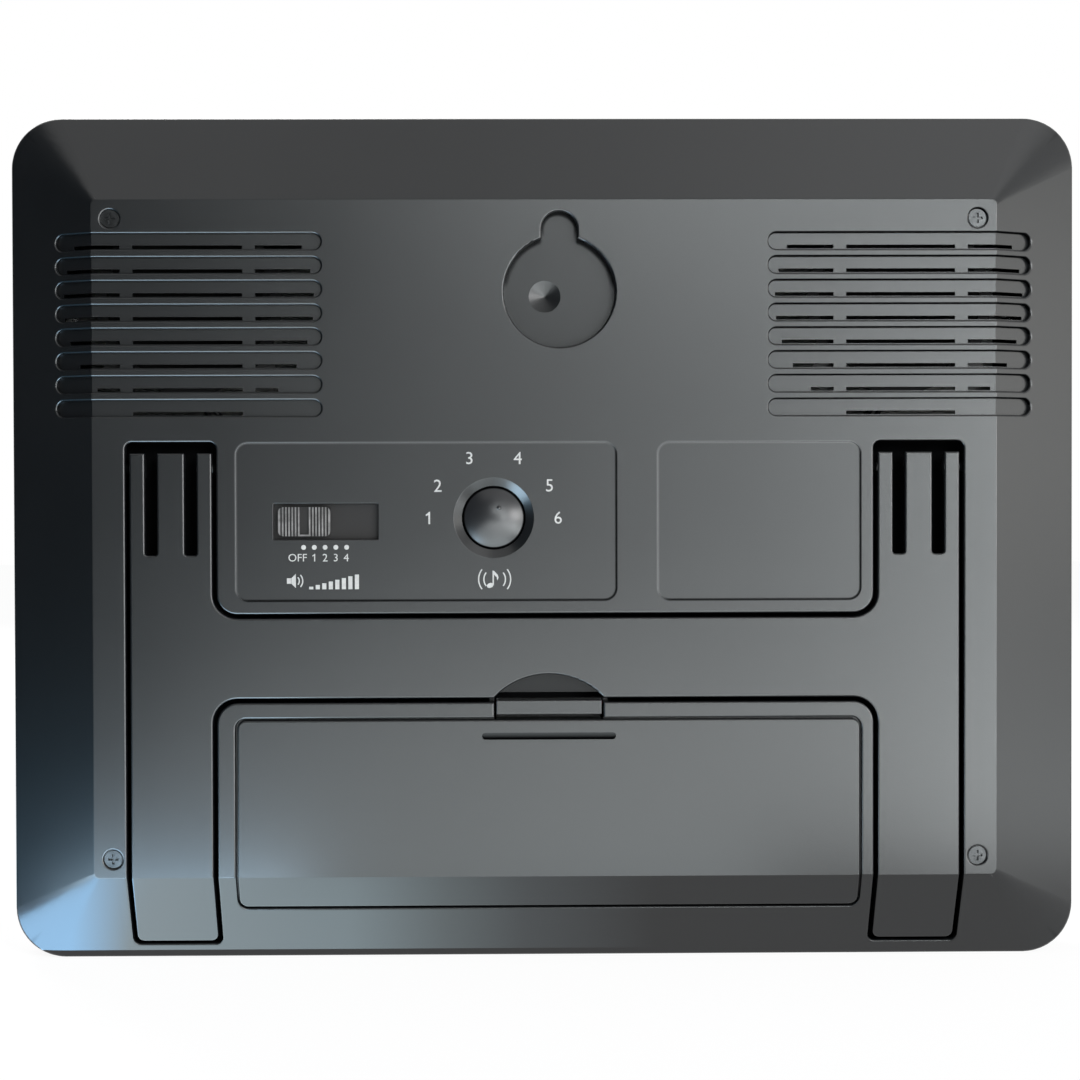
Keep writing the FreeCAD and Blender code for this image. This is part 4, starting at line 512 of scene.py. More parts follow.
def grown(tree, points, angles, values):
    """The plain mesh that a Geometry Nodes tree makes of these points."""
    start = bpy.data.meshes.new("points")
    start.from_pydata(points, [], [])
    if angles:
        start.attributes.new("angle", "FLOAT", "POINT").data.foreach_set("value", angles)
    holder = place_object("holder", start)
    modifier = holder.modifiers.new("nodes", "NODES")
    modifier.node_group = tree
    for item in tree.interface.items_tree:
        if item.in_out == "INPUT" and item.name in values:
            modifier[item.identifier] = values[item.name]
    return real_mesh(holder)


def add_mesh(shape, mesh):
    """Takes a mesh into a shape."""
    shape.from_mesh(mesh)
    bpy.data.meshes.remove(mesh)


def digit_points(text, x, height):
    """Centres and angles of the lit and the unlit segments of a number, in its own plane."""
    lit, unlit = ([], []), ([], [])
    for place, sign in enumerate(text):
        if sign == " ":
            continue
        left = x + place * digit_pitch * height
        for name, (across, up, angle) in segment_spots.items():
            centres, angles = lit if name in lit_segments[sign] else unlit
            v = up * height
            centres.append(((left + across * digit_width * height + v * math.tan(lean)) * MM,
                            v * MM, 0.0))
            angles.append(math.radians(angle) - (lean if angle else 0.0))
    return lit, unlit


def display_shape(shade, finish):
    """All segments of one shade, standing in front of the display's glass."""
    shape = bmesh.new()
    tree = segment_tree()
    for text, x, z, height in display_rows:
        points, angles = digit_points(text, x, height)[shade]
        if not points:
            continue
        width = segment_width * height
        mesh = grown(tree, points, angles, {
            "Length": (digit_width * height - segment_gap * width) * MM, "Width": width * MM,
            "Thickness": segment_thickness * MM, "Finish": finish})
        stand_up = Matrix.Translation(
            (0, lcd_front - (segment_lift - segment_thickness) * MM, z * MM))
        mesh.transform(stand_up @ Matrix.Rotation(math.radians(90), 4, "X"))
        add_mesh(shape, mesh)
    bpy.data.node_groups.remove(tree)
    return shape


def add_mark(shape, left, right, bottom, top, radius, steps):
    """A flat printed mark as thick as a segment, on the display's glass."""
    add_plate(shape, rounded_outline(left, right, bottom, top, radius, steps),
              segment_front, segment_front + segment_thickness)


lcd_dark = grained("lcd_dark_segment", (0.016, 0.020, 0.018), (0.022, 0.026, 0.024), 0.3)
lcd_faint = grained("lcd_faint_segment", (0.205, 0.230, 0.194), (0.215, 0.240, 0.203), 0.3)
dress(grained("lcd_glass", (0.235, 0.262, 0.222), (0.252, 0.280, 0.236), 0.2, pits=9000.0,
              depth=0.0004, patches=9.0, coat=0.35), "lcd_panel")
lit = display_shape(0, lcd_dark)
for x, z, height in colons:
    half = colon_half * height
    for share in colon_places:
        cx, cz = x + share * height * math.tan(lean), z + share * height
        add_mark(lit, cx - half, cx + half, cz - half, cz + half, colon_corner * half, 3)
for sides in ruled_lines:
    add_mark(lit, *sides, 0.25, 2)
make_piece("lcd_lit_segments", lit, "case", lcd_dark)
make_piece("lcd_unlit_segments", display_shape(1, lcd_faint), "case", lcd_faint)


# ================ light guide and tray
# Behind the glass lie a milky acrylic light guide and the white styrene tray that
# holds the stack to the bezel with six screws. An amber film carries the contacts.
def film_finish(name, first, second, lines):
    """A film with fine parallel tracks across X."""
    finish, tree, shader = plain_material(name)
    wave = add_node(tree, "ShaderNodeTexWave",
                    {"Vector": object_vector(tree), "Scale": lines}, bands_direction="X")
    feed(tree, shader, {
        "Base Color": tones(tree, wave.outputs["Fac"], (0.0, first), (0.5, second),
                            change="CONSTANT"),
        "Roughness": fade(tree, grain(tree)["Patch"], 0.0, 1.0, 0.25, 0.35)})
    return finish


dress(grained("milky_acrylic", (0.72, 0.75, 0.76), (0.78, 0.80, 0.81), 0.28, depth=0.002),
      "light_guide")
dress(grained("tray_white", (0.60, 0.60, 0.58), (0.66, 0.66, 0.63), 0.5), "lcd_frame")
dress(film_finish("amber_film", (0.42, 0.24, 0.05), (0.55, 0.30, 0.08), 330.0), "lcd_ribbon")


# ================ circuit boards
# Glass laminate under green lacquer, with copper tracks that shimmer through and
# tinned pads. The main board sits on the tray, the others behind keys and controls.
def board_finish():
    """Green lacquer over tracks that run across and up, with tinned pads between them."""
    finish, tree, shader = plain_material("green_lacquer")
    place = object_vector(tree)
    lay = add_node(tree, "ShaderNodeMapping",
                   {"Vector": place, "Rotation": (math.radians(90), 0.0, 0.0)})
    tracks = add_node(tree, "ShaderNodeTexBrick", {
        "Vector": lay.outputs["Vector"], "Color1": (0.010, 0.075, 0.028),
        "Color2": (0.013, 0.092, 0.034), "Mortar": (0.035, 0.165, 0.060), "Scale": 130.0,
        "Mortar Size": 0.03, "Brick Width": 1.7, "Row Height": 0.35}).outputs
    spots = add_node(tree, "ShaderNodeTexVoronoi",
                     {"Vector": place, "Scale": 210.0, "Randomness": 0.35})
    pads = sums(tree)("LESS_THAN", spots.outputs["Distance"], 0.16)
    feed(tree, shader, {"Base Color": blend(tree, pads, tracks["Color"], (0.52, 0.52, 0.50)),
                        "Roughness": fade(tree, tracks["Fac"], 0.0, 1.0, 0.24, 0.36)})
    return finish


dress(board_finish(), "main_board", "button_board", "control_board")


# ================ parts on the boards
# Epoxy packages with tinned legs, drawn aluminium capacitor and crystal cans, white
# nylon sockets and black switch bodies, all soldered to the boards.
leg_length = 1.25


def package(node):
    """Black epoxy, with tinned legs past the body's two sides."""
    finish, tree, shader = plain_material(node + "_epoxy")
    low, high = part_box(node)
    maths = sums(tree)
    aside = maths("ABSOLUTE", maths("SUBTRACT", object_place(tree)["X"], (low.x + high.x) / 2))
    legs = maths("GREATER_THAN", aside, (high.x - low.x) / 2 - leg_length * MM)
    feed(tree, shader, {
        "Base Color": blend(tree, legs, (0.014, 0.014, 0.015), (0.60, 0.60, 0.58)),
        "Metallic": legs, "Roughness": 0.38,
        "Normal": relief(tree, grain(tree, pits=5200.0)["Height"], 0.01)})
    return finish


for chip in ("clock_chip", "sound_chip", "amplifier_chip"):
    dress(package(chip), chip)
dress(grained("drawn_can", (0.60, 0.61, 0.62), (0.67, 0.68, 0.69), 0.3, pits=900.0,
              depth=0.004, metallic=1.0), "capacitors", "quartz_crystal")
dress(grained("white_nylon", (0.66, 0.65, 0.60), (0.72, 0.71, 0.66), 0.45), "lead_sockets")
dress(grained("switch_black", (0.016, 0.016, 0.018), (0.024, 0.024, 0.026), 0.4),
      "tact_switches", "volume_switch", "selector_switch", "selector_shaft")
dress(grained("lever_white", (0.62, 0.61, 0.57), (0.70, 0.69, 0.65), 0.4),
      "volume_switch_lever")


# ================ small screws
# Self-tapping screws of zinc-plated steel hold the tray and the boards, and blackened
# ones clamp the speakers. All are rolled and driven into blind holes in the plastic.
def plated(name, colour, second, roughness):
    """Bright metal plating with fine turning marks and a dull bloom in patches."""
    return grained(name, colour, second, roughness, pits=1500.0, depth=0.006, patches=420.0,
                   metallic=1.0)


dress(plated("zinc_plate", (0.50, 0.50, 0.49), (0.66, 0.66, 0.65), 0.27), "lcd_frame_screws",
      "main_board_screws", "button_board_screws", "control_board_screws")
dress(grained("blackened_steel", (0.020, 0.020, 0.021), (0.035, 0.034, 0.033), 0.5,
              pits=1500.0, depth=0.006), "speaker_screws")


# ================ keys
# Seven grey ABS key caps in a row under the window, each with one white symbol:
# bell, note, lamp, minus, plus, up and down. A tact switch behind gives the click.
symbol_height = 3.0
ink_sunk, ink_proud = 0.02, 0.01


def ellipse(cx, cz, rx, rz, turn=0.0, steps=20):
    """Points of an ellipse."""
    points = []
    for step in range(steps):
        angle = 2 * math.pi * step / steps
        u, v = rx * math.cos(angle), rz * math.sin(angle)
        points.append((cx + u * math.cos(turn) - v * math.sin(turn),
                       cz + u * math.sin(turn) + v * math.cos(turn)))
    return points


def arc_band(cx, cz, radius, width, start, end, steps=10):
    """Points of a band along an arc, in degrees from the horizontal."""
    sides = []
    for reach in (radius + width / 2, radius - width / 2):
        angles = [math.radians(start + (end - start) * step / steps)
                  for step in range(steps + 1)]
        sides.append([(cx + reach * math.cos(a), cz + reach * math.sin(a)) for a in angles])
    return sides[0] + sides[1][::-1]


def bar(length, height, cx=0.0, cz=0.0):
    """A rectangle round a point."""
    return [(cx - length / 2, cz - height / 2), (cx + length / 2, cz - height / 2),
            (cx + length / 2, cz + height / 2), (cx - length / 2, cz + height / 2)]


def sized(size, *points):
    """An outline drawn in shares of a size."""
    return [(u * size, v * size) for u, v in points]


def note_symbol(size):
    """One quaver: head, stem and flag."""
    return [ellipse(-0.22 * size, -0.36 * size, 0.2 * size, 0.14 * size, 0.35),
            sized(size, (-0.08, -0.34), (0.0, -0.34), (0.0, 0.5), (-0.08, 0.5)),
            sized(size, (0.0, 0.5), (0.0, 0.28), (0.16, 0.12), (0.2, -0.08), (0.27, 0.1),
                  (0.22, 0.26))]


def speaker_symbol(size):
    """A loudspeaker: box, horn and two waves."""
    return [sized(size, (-0.5, -0.16), (-0.26, -0.16), (-0.26, 0.16), (-0.5, 0.16)),
            sized(size, (-0.24, -0.16), (0.02, -0.42), (0.02, 0.42), (-0.24, 0.16)),
            *(arc_band(-0.1 * size, 0.0, reach * size, 0.07 * size, -42, 42)
              for reach in (0.32, 0.52))]


def lamp_symbol():
    """A disc with eight rays."""
    ray = ((0.95, -0.12), (1.6, -0.07), (1.6, 0.07), (0.95, 0.12))    # radius, angle
    return [ellipse(0.0, 0.0, 0.75, 0.75)] + [
        [(r * math.cos(math.pi * step / 4 + a), r * math.sin(math.pi * step / 4 + a))
         for r, a in ray] for step in range(8)]


bell_symbol = [[(-1.5, -0.8), (1.5, -0.8), (1.1, -0.3), (0.9, 0.9), (0.35, 1.4), (-0.35, 1.4),
                (-0.9, 0.9), (-1.1, -0.3)], ellipse(0.0, -1.2, 0.4, 0.28)]
minus_symbol = [bar(2.8, 0.6)]
plus_symbol = minus_symbol + [bar(0.6, 1.05, 0.0, 0.85), bar(0.6, 1.05, 0.0, -0.85)]
up_symbol = [[(-1.4, -0.9), (1.4, -0.9), (0.0, 1.2)]]
down_symbol = [[(-1.4, 0.9), (0.0, -1.2), (1.4, 0.9)]]
key_symbols = (bell_symbol, note_symbol(symbol_height), lamp_symbol(), minus_symbol,
               plus_symbol, up_symbol, down_symbol)
key_grey = grained("key_grey", (0.115, 0.120, 0.128), (0.135, 0.140, 0.148), 0.36)
white_ink = grained("white_ink", (0.52, 0.53, 0.53), (0.62, 0.63, 0.62), 0.55, pits=5200.0,
                    depth=0.004, patches=900.0)
for number, symbol in enumerate(key_symbols, 1):
    key = f"button_{number}"
    dress(key_grey, key)
    key_low, key_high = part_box(key)
    cx, cz = (key_low.x + key_high.x) / 2 / MM, (key_low.z + key_high.z) / 2 / MM
    face = key_low.y / MM
    shape = bmesh.new()
    for outline in symbol:
        add_plate(shape, [(cx + x, cz + z) for x, z in outline], face - ink_sunk,
                  face + ink_proud)
    make_piece(f"key_symbol_{number}", shape, key, white_ink)


# ================ speakers
# Two 50 mm speakers clamped behind the grooves: a basket in dull black enamel, a paper
# cone with a felt dust cap and pressed rings, and a ferrite magnet behind.
def ringed_paper(name, node):
    """Pressed black paper with concentric rings and fibres, kept near black and dull as painted
    shade inside the case.
    """
    finish, tree, shader = plain_material(name)
    low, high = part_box(node)
    middle = (low + high) / 2
    centre = add_node(tree, "ShaderNodeMapping", {
        "Vector": object_vector(tree), "Location": (-middle.x, 0.0, -middle.z),
        "Scale": (1.0, 0.0, 1.0)})
    rings = add_node(tree, "ShaderNodeTexWave",
                     {"Vector": centre.outputs["Vector"], "Scale": 150.0},
                     wave_type="RINGS", rings_direction="SPHERICAL")
    fibres = noise(tree, 1400.0, 5.0)
    feed(tree, shader, {
        "Base Color": tones(tree, fibres, (0.0, (0.005, 0.005, 0.005)),
                            (1.0, (0.014, 0.014, 0.013))),
        "Normal": relief(tree, sums(tree)("ADD", rings.outputs["Fac"], fibres), 0.12),
        "Roughness": 0.9, "Specular IOR Level": 0.1})
    return finish


# The basket's black enamel is made darker and duller still, as painted shade behind the
# grooves.
basket_steel = grained("basket_steel", (0.006, 0.006, 0.0065), (0.011, 0.011, 0.012), 0.6,
                       pits=1800.0, specular=0.12)
ferrite = grained("ferrite", (0.014, 0.014, 0.015), (0.024, 0.024, 0.026), 0.6, pits=1200.0,
                  depth=0.03)
for side in ("left", "right"):
    dress(ringed_paper("cone_paper_" + side, "speaker_cone_" + side), "speaker_cone_" + side)
    dress(basket_steel, "speaker_frame_" + side)
    dress(ferrite, "speaker_magnet_" + side)


# ================ leads
# Stranded copper leads in soft vinyl, tinned at their ends and pressed into the
# sockets. Red and black feed the board, white ones reach controls and keys.
for sleeve, colour, second, leads in (
        ("red_vinyl", (0.38, 0.020, 0.014), (0.46, 0.030, 0.020), ("battery_leads",)),
        ("black_vinyl", (0.014, 0.014, 0.015), (0.024, 0.024, 0.025), ("speaker_leads",)),
        ("white_vinyl", (0.62, 0.61, 0.57), (0.70, 0.69, 0.65),
         ("control_leads", "button_leads"))):
    dress(grained(sleeve, colour, second, 0.34, pits=2200.0, depth=0.005, patches=120.0),
          *leads)


# ================ case screws
# Four pan-head screws at the corners of the flat back, with a cross recess, turned
# and black zinc plated. Each sits a little below the surface in its counterbore.
dress(plated("case_screw_zinc", (0.036, 0.037, 0.038), (0.058, 0.059, 0.060), 0.30),
      "case_screws")


# ================ stand
# One H-shaped moulding folds out of the back on pins at the top of its arms, with shade
# painted black on the pins. Slots in the arms make the spring tongues that snap it into the
# case.
arm_middle, arm_half, pins_from = 100.4, 11.1, 125.0
stand_plastic = grained("stand_plastic", case_grey, case_grey_worn, 0.29, patches=11.0)
tree = stand_plastic.node_tree
maths, place = sums(tree), object_place(tree)
# Painted shade: black on the pin stubs beside the arms, above pins_from.
beside = maths("ABSOLUTE", maths("SUBTRACT", maths("ABSOLUTE", place["X"]), arm_middle * MM))
leave_black(tree, maths("MULTIPLY", maths("GREATER_THAN", beside, arm_half * MM),
                        maths("GREATER_THAN", place["Z"], pins_from * MM)))
dress(stand_plastic, "stand")


# ================ battery door and latch
# A flat door over the three cells, with two feet at its lower edge and a finger
# groove at its top. A bent spring latch, moulded with it, snaps under the crossbar.
grip_x, grip_z, grip_half, grip_rise = -0.8, 61.4, 18.2, 1.05
grip_mouth, grip_shade_full, grip_floor = 20.9, 20.7, 20.0  # along Y
door_plastic = grained("door_plastic", case_grey, case_grey_worn, 0.30, patches=9.0)
tree = door_plastic.node_tree
maths, place = sums(tree), object_place(tree)
# Painted shade in the finger groove, darker towards its lower edge.
below = maths("MULTIPLY", fade(tree, place["Y"], grip_mouth * MM, grip_shade_full * MM),
              maths("GREATER_THAN", place["Y"], grip_floor * MM))
in_groove = maths("MULTIPLY", in_box(maths, place, grip_x, grip_z, grip_half, grip_rise), below)
groove_shade_down = fade(tree, place["Z"], (grip_z + 0.9) * MM, (grip_z - 0.5) * MM, 0.45)
leave_black(tree, maths("MULTIPLY", in_groove, groove_shade_down))
dress(door_plastic, "battery_door", "battery_latch")


# ================ cells and contacts
# Three C cells lie in a row in a shrink sleeve each, between a nickel-plated blade
# and a coiled spring that pushes on the last cell's can.
sleeve_thickness, band_from = 1.1, 0.72


def cell_finish():
    """Slate sleeve with a copper band at one end, and bare steel near the axis."""
    finish, tree, shader = plain_material("cell_sleeve")
    low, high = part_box("battery_cells")
    middle, cell_length = (low + high) / 2, (high.x - low.x) / 3
    maths = sums(tree)
    centre = add_node(tree, "ShaderNodeMapping", {
        "Vector": object_vector(tree), "Location": (-low.x, -middle.y, -middle.z)})
    along = split(tree, centre.outputs["Vector"])
    across = add_node(tree, "ShaderNodeCombineXYZ", {"Y": along["Y"], "Z": along["Z"]})
    radius = add_node(tree, "ShaderNodeVectorMath", {0: across.outputs[0]},
                      operation="LENGTH").outputs["Value"]
    steel = maths("LESS_THAN", radius, (high.z - low.z) / 2 - sleeve_thickness * MM)
    band = maths("GREATER_THAN", maths("MODULO", along["X"], cell_length),
                 band_from * cell_length)
    sleeve = blend(tree, band, (0.040, 0.048, 0.060), (0.42, 0.20, 0.08))
    feed(tree, shader, {"Base Color": blend(tree, steel, sleeve, (0.62, 0.62, 0.60)),
                        "Metallic": steel,
                        "Roughness": fade(tree, grain(tree)["Patch"], 0.0, 1.0, 0.22, 0.34)})
    return finish


dress(cell_finish(), "battery_cells")
dress(plated("nickel_plate", (0.58, 0.58, 0.56), (0.68, 0.68, 0.66), 0.24),
      "positive_contact", "negative_contact")


# ================ volume slider
# A near-black ribbed cap slides in its slot over five settings, off and one to four.
# Its crests carry a painted highlight in paler grey.
crest_depth = 0.12


def ribbed_finish():
    """Near-black plastic whose crests carry a painted highlight in paler grey."""
    finish, tree, shader = plain_material("slider_plastic")
    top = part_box("volume_slider")[1].y
    crest = fade(tree, object_place(tree)["Y"], top - crest_depth * MM, top)
    # Painted highlight on the crests, in patches.
    crest_highlight = sums(tree)("MULTIPLY", crest, noise(tree, 500.0))
    feed(tree, shader, {
        "Base Color": blend(tree, crest_highlight, (0.016, 0.015, 0.015), (0.40, 0.40, 0.40)),
        "Roughness": 0.45, "Specular IOR Level": 0.2})
    return finish


dress(ribbed_finish(), "volume_slider")


# ================ selector knob
# A domed knob, polished in its mould and smoother than the case, with a raised pip
# that points to one of six settings. Shade is painted black on its rim and the skirt below.
knob_x, knob_z, knob_rim = 13.9, 120.1, 7.75
knob_plastic = grained("knob_plastic", (0.014, 0.015, 0.017), (0.018, 0.019, 0.021), 0.30,
                       depth=0.004)
tree = knob_plastic.node_tree
# Painted shade: black outside the rim's radius, on the rim and skirt in the gap.
leave_black(tree, fade(tree, distance_from(sums(tree), object_place(tree), knob_x, knob_z),
                       knob_rim * MM, (knob_rim + 0.25) * MM))
dress(knob_plastic, "selector_knob")


# ================ printed scales
# Pale ink, pad printed on the floor of the control panel: the slider's dots and
# settings, the numbers round the knob, and one plain symbol under each control.
panel_floor, print_height = 20.7, 0.03
dot_row = (64.9, 112.3, 1.3, -2.88, 5)  # first x, z, diameter, pitch, count
dot_sides = 24
settings = (("OFF", 66.5), ("1", 61.95), ("2", 59.15), ("3", 56.3), ("4", 53.5))
settings_z, setting_height = 109.55, 2.05
label_radius, label_height = 17.3, 3.3
label_angles = (-90.0, -60.0, -22.0, 22.0, 60.0, 90.0)
volume_sign, speaker_aside = (59.7, 103.3), 7.4
sound_sign = (13.9, 103.6)
sign_size = 4.6
figure_one = ((-0.07, -0.5), (0.07, -0.5), (0.07, 0.5), (-0.03, 0.5), (-0.12, 0.38),
              (-0.28, 0.29), (-0.28, 0.15), (-0.07, 0.24))


def row_tree():
    """Geometry Nodes: round dots in a row, at one pitch."""
    tree, given, result = new_group(
        "dot_row", "Geometry", {"Geometry": "Geometry", "Count": "Int", "Pitch": "Float",
                                "Diameter": "Float", "Thickness": "Float",
                                "Finish": "Material"},
        {"Geometry": "Geometry"})
    step = add_node(tree, "ShaderNodeCombineXYZ", {"X": given["Pitch"]})
    line = add_node(tree, "GeometryNodeMeshLine", {"Count": given["Count"],
                                                   "Offset": step.outputs[0]})
    dot = add_node(tree, "GeometryNodeMeshCylinder", {
        "Vertices": dot_sides, "Radius": sums(tree)("MULTIPLY", given["Diameter"], 0.5),
        "Depth": given["Thickness"]})
    return real_copies(tree, given["Finish"], result, Points=line.outputs[0],
                       Instance=dot.outputs["Mesh"])


def from_behind(x, z):
    """Turns a flat drawing so that it reads from behind, centred on x and z."""
    turn = Matrix(((-1, 0, 0), (0, 0, 1), (0, 1, 0))).to_4x4()
    return Matrix.Translation((x * MM, (panel_floor + print_height / 2) * MM, z * MM)) @ turn


def add_words(shape, words, x, z, height):
    """Adds lettering of this cap height, centred, to a print on the panel."""
    font = bpy.data.curves.new("words", "FONT")
    font.body = words
    font.resolution_u = 3
    mesh = real_mesh(place_object("words", font))
    xs = [v.co.x for v in mesh.vertices]
    ys = [v.co.y for v in mesh.vertices]
    scale = height * MM / (max(ys) - min(ys))
    middle = Matrix.Translation((-(max(xs) + min(xs)) / 2, -(max(ys) + min(ys)) / 2, 0))
    mesh.transform(from_behind(x, z) @ Matrix.Scale(scale, 4) @ middle)
    flat = bmesh.new()
    add_mesh(flat, mesh)
    bmesh.ops.remove_doubles(flat, verts=flat.verts, dist=1e-8)
    raised = bmesh.ops.extrude_face_region(flat, geom=flat.faces[:])["geom"]
    bmesh.ops.translate(flat, vec=(0, print_height / 2 * MM, 0),
                        verts=[item for item in raised if isinstance(item, bmesh.types.BMVert)])
    mesh = bpy.data.meshes.new("words")
    flat.to_mesh(mesh)
    flat.free()
    add_mesh(shape, mesh)


def add_symbol(shape, outlines, x, z):
    """Adds a drawn symbol that reads from behind."""
    for outline in outlines:
        add_plate(shape, [(x - u, z + v) for u, v in outline], panel_floor,
                  panel_floor + print_height)


def add_number(shape, number, x, z, height):
    """Adds one figure; the font's own 1 is a bare bar, so that figure is drawn."""
    if number == "1":
        add_symbol(shape, [sized(height, *figure_one)], x, z)
    else:
        add_words(shape, number, x, z, height)


scale_print = bmesh.new()
for words, x in settings:
    add_number(scale_print, words, x, settings_z, setting_height)
for number, angle in enumerate(label_angles, 1):
    add_number(scale_print, str(number),
               knob_x - label_radius * math.sin(math.radians(angle)),
               knob_z + label_radius * math.cos(math.radians(angle)), label_height)
add_symbol(scale_print, speaker_symbol(sign_size), volume_sign[0] + speaker_aside,
           volume_sign[1])
add_symbol(scale_print, [bar(1.1, 0.7 + 0.46 * i, -3.2 + 1.75 * i, -1.9 + 0.23 * i)
                         for i in range(8)], *volume_sign)
add_symbol(scale_print, note_symbol(sign_size), *sound_sign)
add_symbol(scale_print, [arc_band(0.2, 0.0, radius, 0.34, start, start + 76)
                         for radius in (2.9, 4.3) for start in (-38, 142)], *sound_sign)
x, z, diameter, pitch, count = dot_row
tree = row_tree()
dots = grown(tree, [(0, 0, 0)], None, {"Count": count, "Pitch": -pitch * MM,
                                       "Diameter": diameter * MM,
                                       "Thickness": print_height * MM, "Finish": white_ink})
bpy.data.node_groups.remove(tree)
dots.transform(from_behind(x, z))
add_mesh(scale_print, dots)
make_piece("scale_print", scale_print, "case", white_ink)


# ================ studio
# A pale floor and two soft lamps, with bright panels and dark cards that only the
# plastic mirrors. They stand behind the clock, beside it and flat on the floor.
def sheet(name, left, right, near, far, bottom, top, finish):
    """A flat sheet: it lies where bottom equals top, else it stands."""
    mesh = bpy.data.meshes.new(name)
    if bottom == top:
        corners = [(left, near, top), (right, near, top), (right, far, top), (left, far, top)]
    else:
        corners = [(left, far, bottom), (right, near, bottom), (right, near, top),
                   (left, far, top)]
    mesh.from_pydata(corners, [], [(0, 1, 2, 3)])
    mesh.materials.append(finish)
    return place_object(name, mesh)


def seen_directly(tree):
    """1 for what the camera sees itself, in a mirror or through the lens, else 0."""
    path = add_node(tree, "ShaderNodeLightPath").outputs
    maths = sums(tree)
    return maths("MAXIMUM", maths("MAXIMUM", path["Is Camera Ray"], path["Is Glossy Ray"]),
                 path["Is Transmission Ray"])


navy, soot = (0.010, 0.014, 0.024), (0.02, 0.02, 0.022)
for name, sides, colour in (
        ("card_left", (0.75, 0.75, -0.4, 1.7, 0.0, 1.3), navy),
        ("card_behind", (0.05, 0.75, 1.7, 1.7, 0.0, 1.3), soot),
        ("card_floor", (0.02, 0.75, 0.16, 1.7, 0.001, 0.001), navy),
        ("card_floor_side", (0.42, 0.75, -0.3, 0.16, 0.001, 0.001), (0.06, 0.22, 0.33)),
        ("card_floor_near", (0.20, 0.42, -0.3, 0.16, 0.001, 0.001), (0.20, 0.56, 0.88))):
    matt, tree, shader = plain_material(name)
    feed(tree, shader, {"Base Color": colour, "Roughness": 1.0})
    card = sheet(name, *sides, matt)
    card.visible_camera = card.visible_diffuse = False
    card.visible_shadow = card.visible_transmission = False

floor_paint, tree, shader = plain_material("floor_paint")
feed(tree, shader, {"Base Color": (0.86, 0.86, 0.86), "Roughness": 0.9})
choose_surface(tree, "Material Output", sums(tree)("MULTIPLY", seen_directly(tree), 0.86),
               shader, add_node(tree, "ShaderNodeEmission", {"Strength": 1.07}))
sheet("floor", -4, 4, -4, 4, 0, 0, floor_paint)

world = bpy.data.worlds.new("studio")
bpy.context.scene.world = world
world.use_nodes = True
tree = world.node_tree
air = tree.nodes["Background"]
feed(tree, air, {"Color": (0.92, 0.96, 1.0), "Strength": 0.35})
wall = add_node(tree, "ShaderNodeBackground", {"Color": (1.0, 1.0, 1.0), "Strength": 1.0})
choose_surface(tree, "World Output", seen_directly(tree), air, wall)


def lamp(name, place, aim, width, height, power, colour):
    """A soft rectangular lamp that the camera doesn't see."""
    light = bpy.data.lights.new(name, "AREA")
    light.shape = "RECTANGLE"
    light.size, light.size_y = width, height
    light.energy = power
    light.color = colour
    holder = place_object(name, light)
    holder.location = place
    holder.rotation_euler = (Vector(aim) - Vector(place)).to_track_quat("-Z", "Y").to_euler()
    holder.visible_camera = False
    return holder


def panel(name, place, aim, width, height, brightness, colour):
    """A screen that only reflections meet. A brightness of 1 is the white of the floor.
    Without an aim it lies flat and shines up."""
    holder = lamp(name, place, aim or (*place[:2], 1.0), width, height,
                  brightness * math.pi * width * height, colour)
    holder.visible_diffuse = False
    return holder


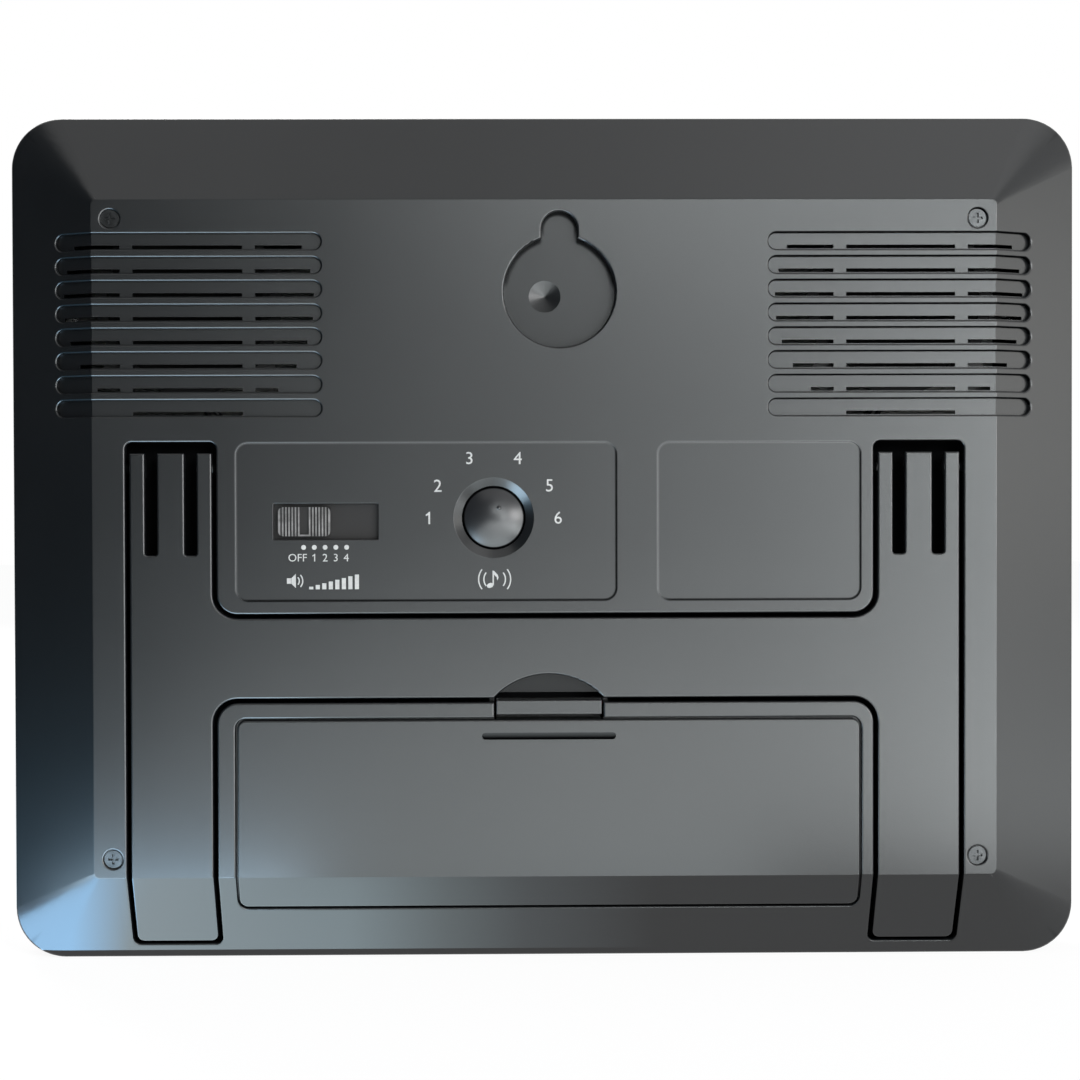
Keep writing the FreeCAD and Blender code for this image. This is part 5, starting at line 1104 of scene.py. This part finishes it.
middle, flat = (0.0, 0.0, 0.12), None
white, daylight, cream = (1.0, 1.0, 1.0), (0.93, 0.99, 1.0), (1.0, 1.0, 0.96)
for row in (
        ("upper_panel", (-0.20, 1.60, 0.52), (-0.20, 0.0, 0.12), 0.45, 0.16, 18.0, daylight),
        ("right_panel", (-0.52, 1.60, 0.21), middle, 0.17, 0.42, 19.0, daylight),
        ("side_panel", (-1.50, 0.55, 0.22), middle, 0.6, 0.4, 2.7, cream),
        ("edge_panel", (-0.98, 1.13, 0.24), middle, 0.6, 0.46, 14.0, white),
        ("near_table_panel", (0.015, 0.28, 0.004), flat, 0.29, 0.24, 4.0, daylight),
        ("table_panel", (-0.04, 0.575, 0.004), flat, 0.37, 0.35, 7.6, daylight),
        ("table_side_panel", (-0.31, 0.57, 0.004), flat, 0.17, 0.56, 9.6, daylight),
        ("near_side_panel", (-0.20, 0.27, 0.004), flat, 0.14, 0.26, 7.9, daylight),
        ("far_side_panel", (-0.52, 0.26, 0.004), flat, 0.50, 0.46, 2.4, daylight),
        ("below_panel", (0.01, 0.118, 0.004), flat, 0.16, 0.075, 5.0, (0.86, 0.97, 1.0)),
        ("below_left_panel", (0.148, 0.085, 0.004), flat, 0.15, 0.09, 16.5,
         (0.56, 0.80, 1.0)),
        ("sky_panel", (-0.60, 0.60, 1.50), (-0.10, 0.0, 0.22), 0.80, 0.90, 0.85, white)):
    panel(*row)
foot_panel = panel("foot_panel", (0.07, 0.0215, 0.002), flat, 0.20, 0.029, 13.0, white)
foot_panel.data.use_nodes = True
tree = foot_panel.data.node_tree
across = split(tree, add_node(tree, "ShaderNodeNewGeometry").outputs["Parametric"])["X"]
glow = tones(tree, across, (0.0, (0.41, 0.78, 1.2)), (0.20, (0.41, 0.78, 1.2)),
             (0.28, (0.31, 0.39, 0.43)), (0.58, (0.24, 0.31, 0.34)), (0.71, (0.12, 0.15, 0.16)),
             (0.82, (0.05, 0.06, 0.065)), (1.0, (0.0, 0.0, 0.0)))
feed(tree, tree.nodes["Emission"], {"Color": glow})
lamp("front_lamp", (0.5, -1.3, 0.9), middle, 0.8, 0.8, 15.0, white)
lamp("back_lamp", (-0.9, 1.6, 0.9), middle, 0.9, 0.9, 28.0, white).visible_glossy = False

camera_data = bpy.data.cameras.new("camera")
camera_data.sensor_width = 36.0
camera_data.lens = 83.33
camera = place_object("camera", camera_data)
camera.location = (0.011688, 0.691803, 0.125932)
camera.rotation_euler = [math.radians(a) for a in (88.990, 0.160, 179.127)]
bpy.context.scene.camera = camera
bpy.context.scene.view_settings.view_transform = "Standard"
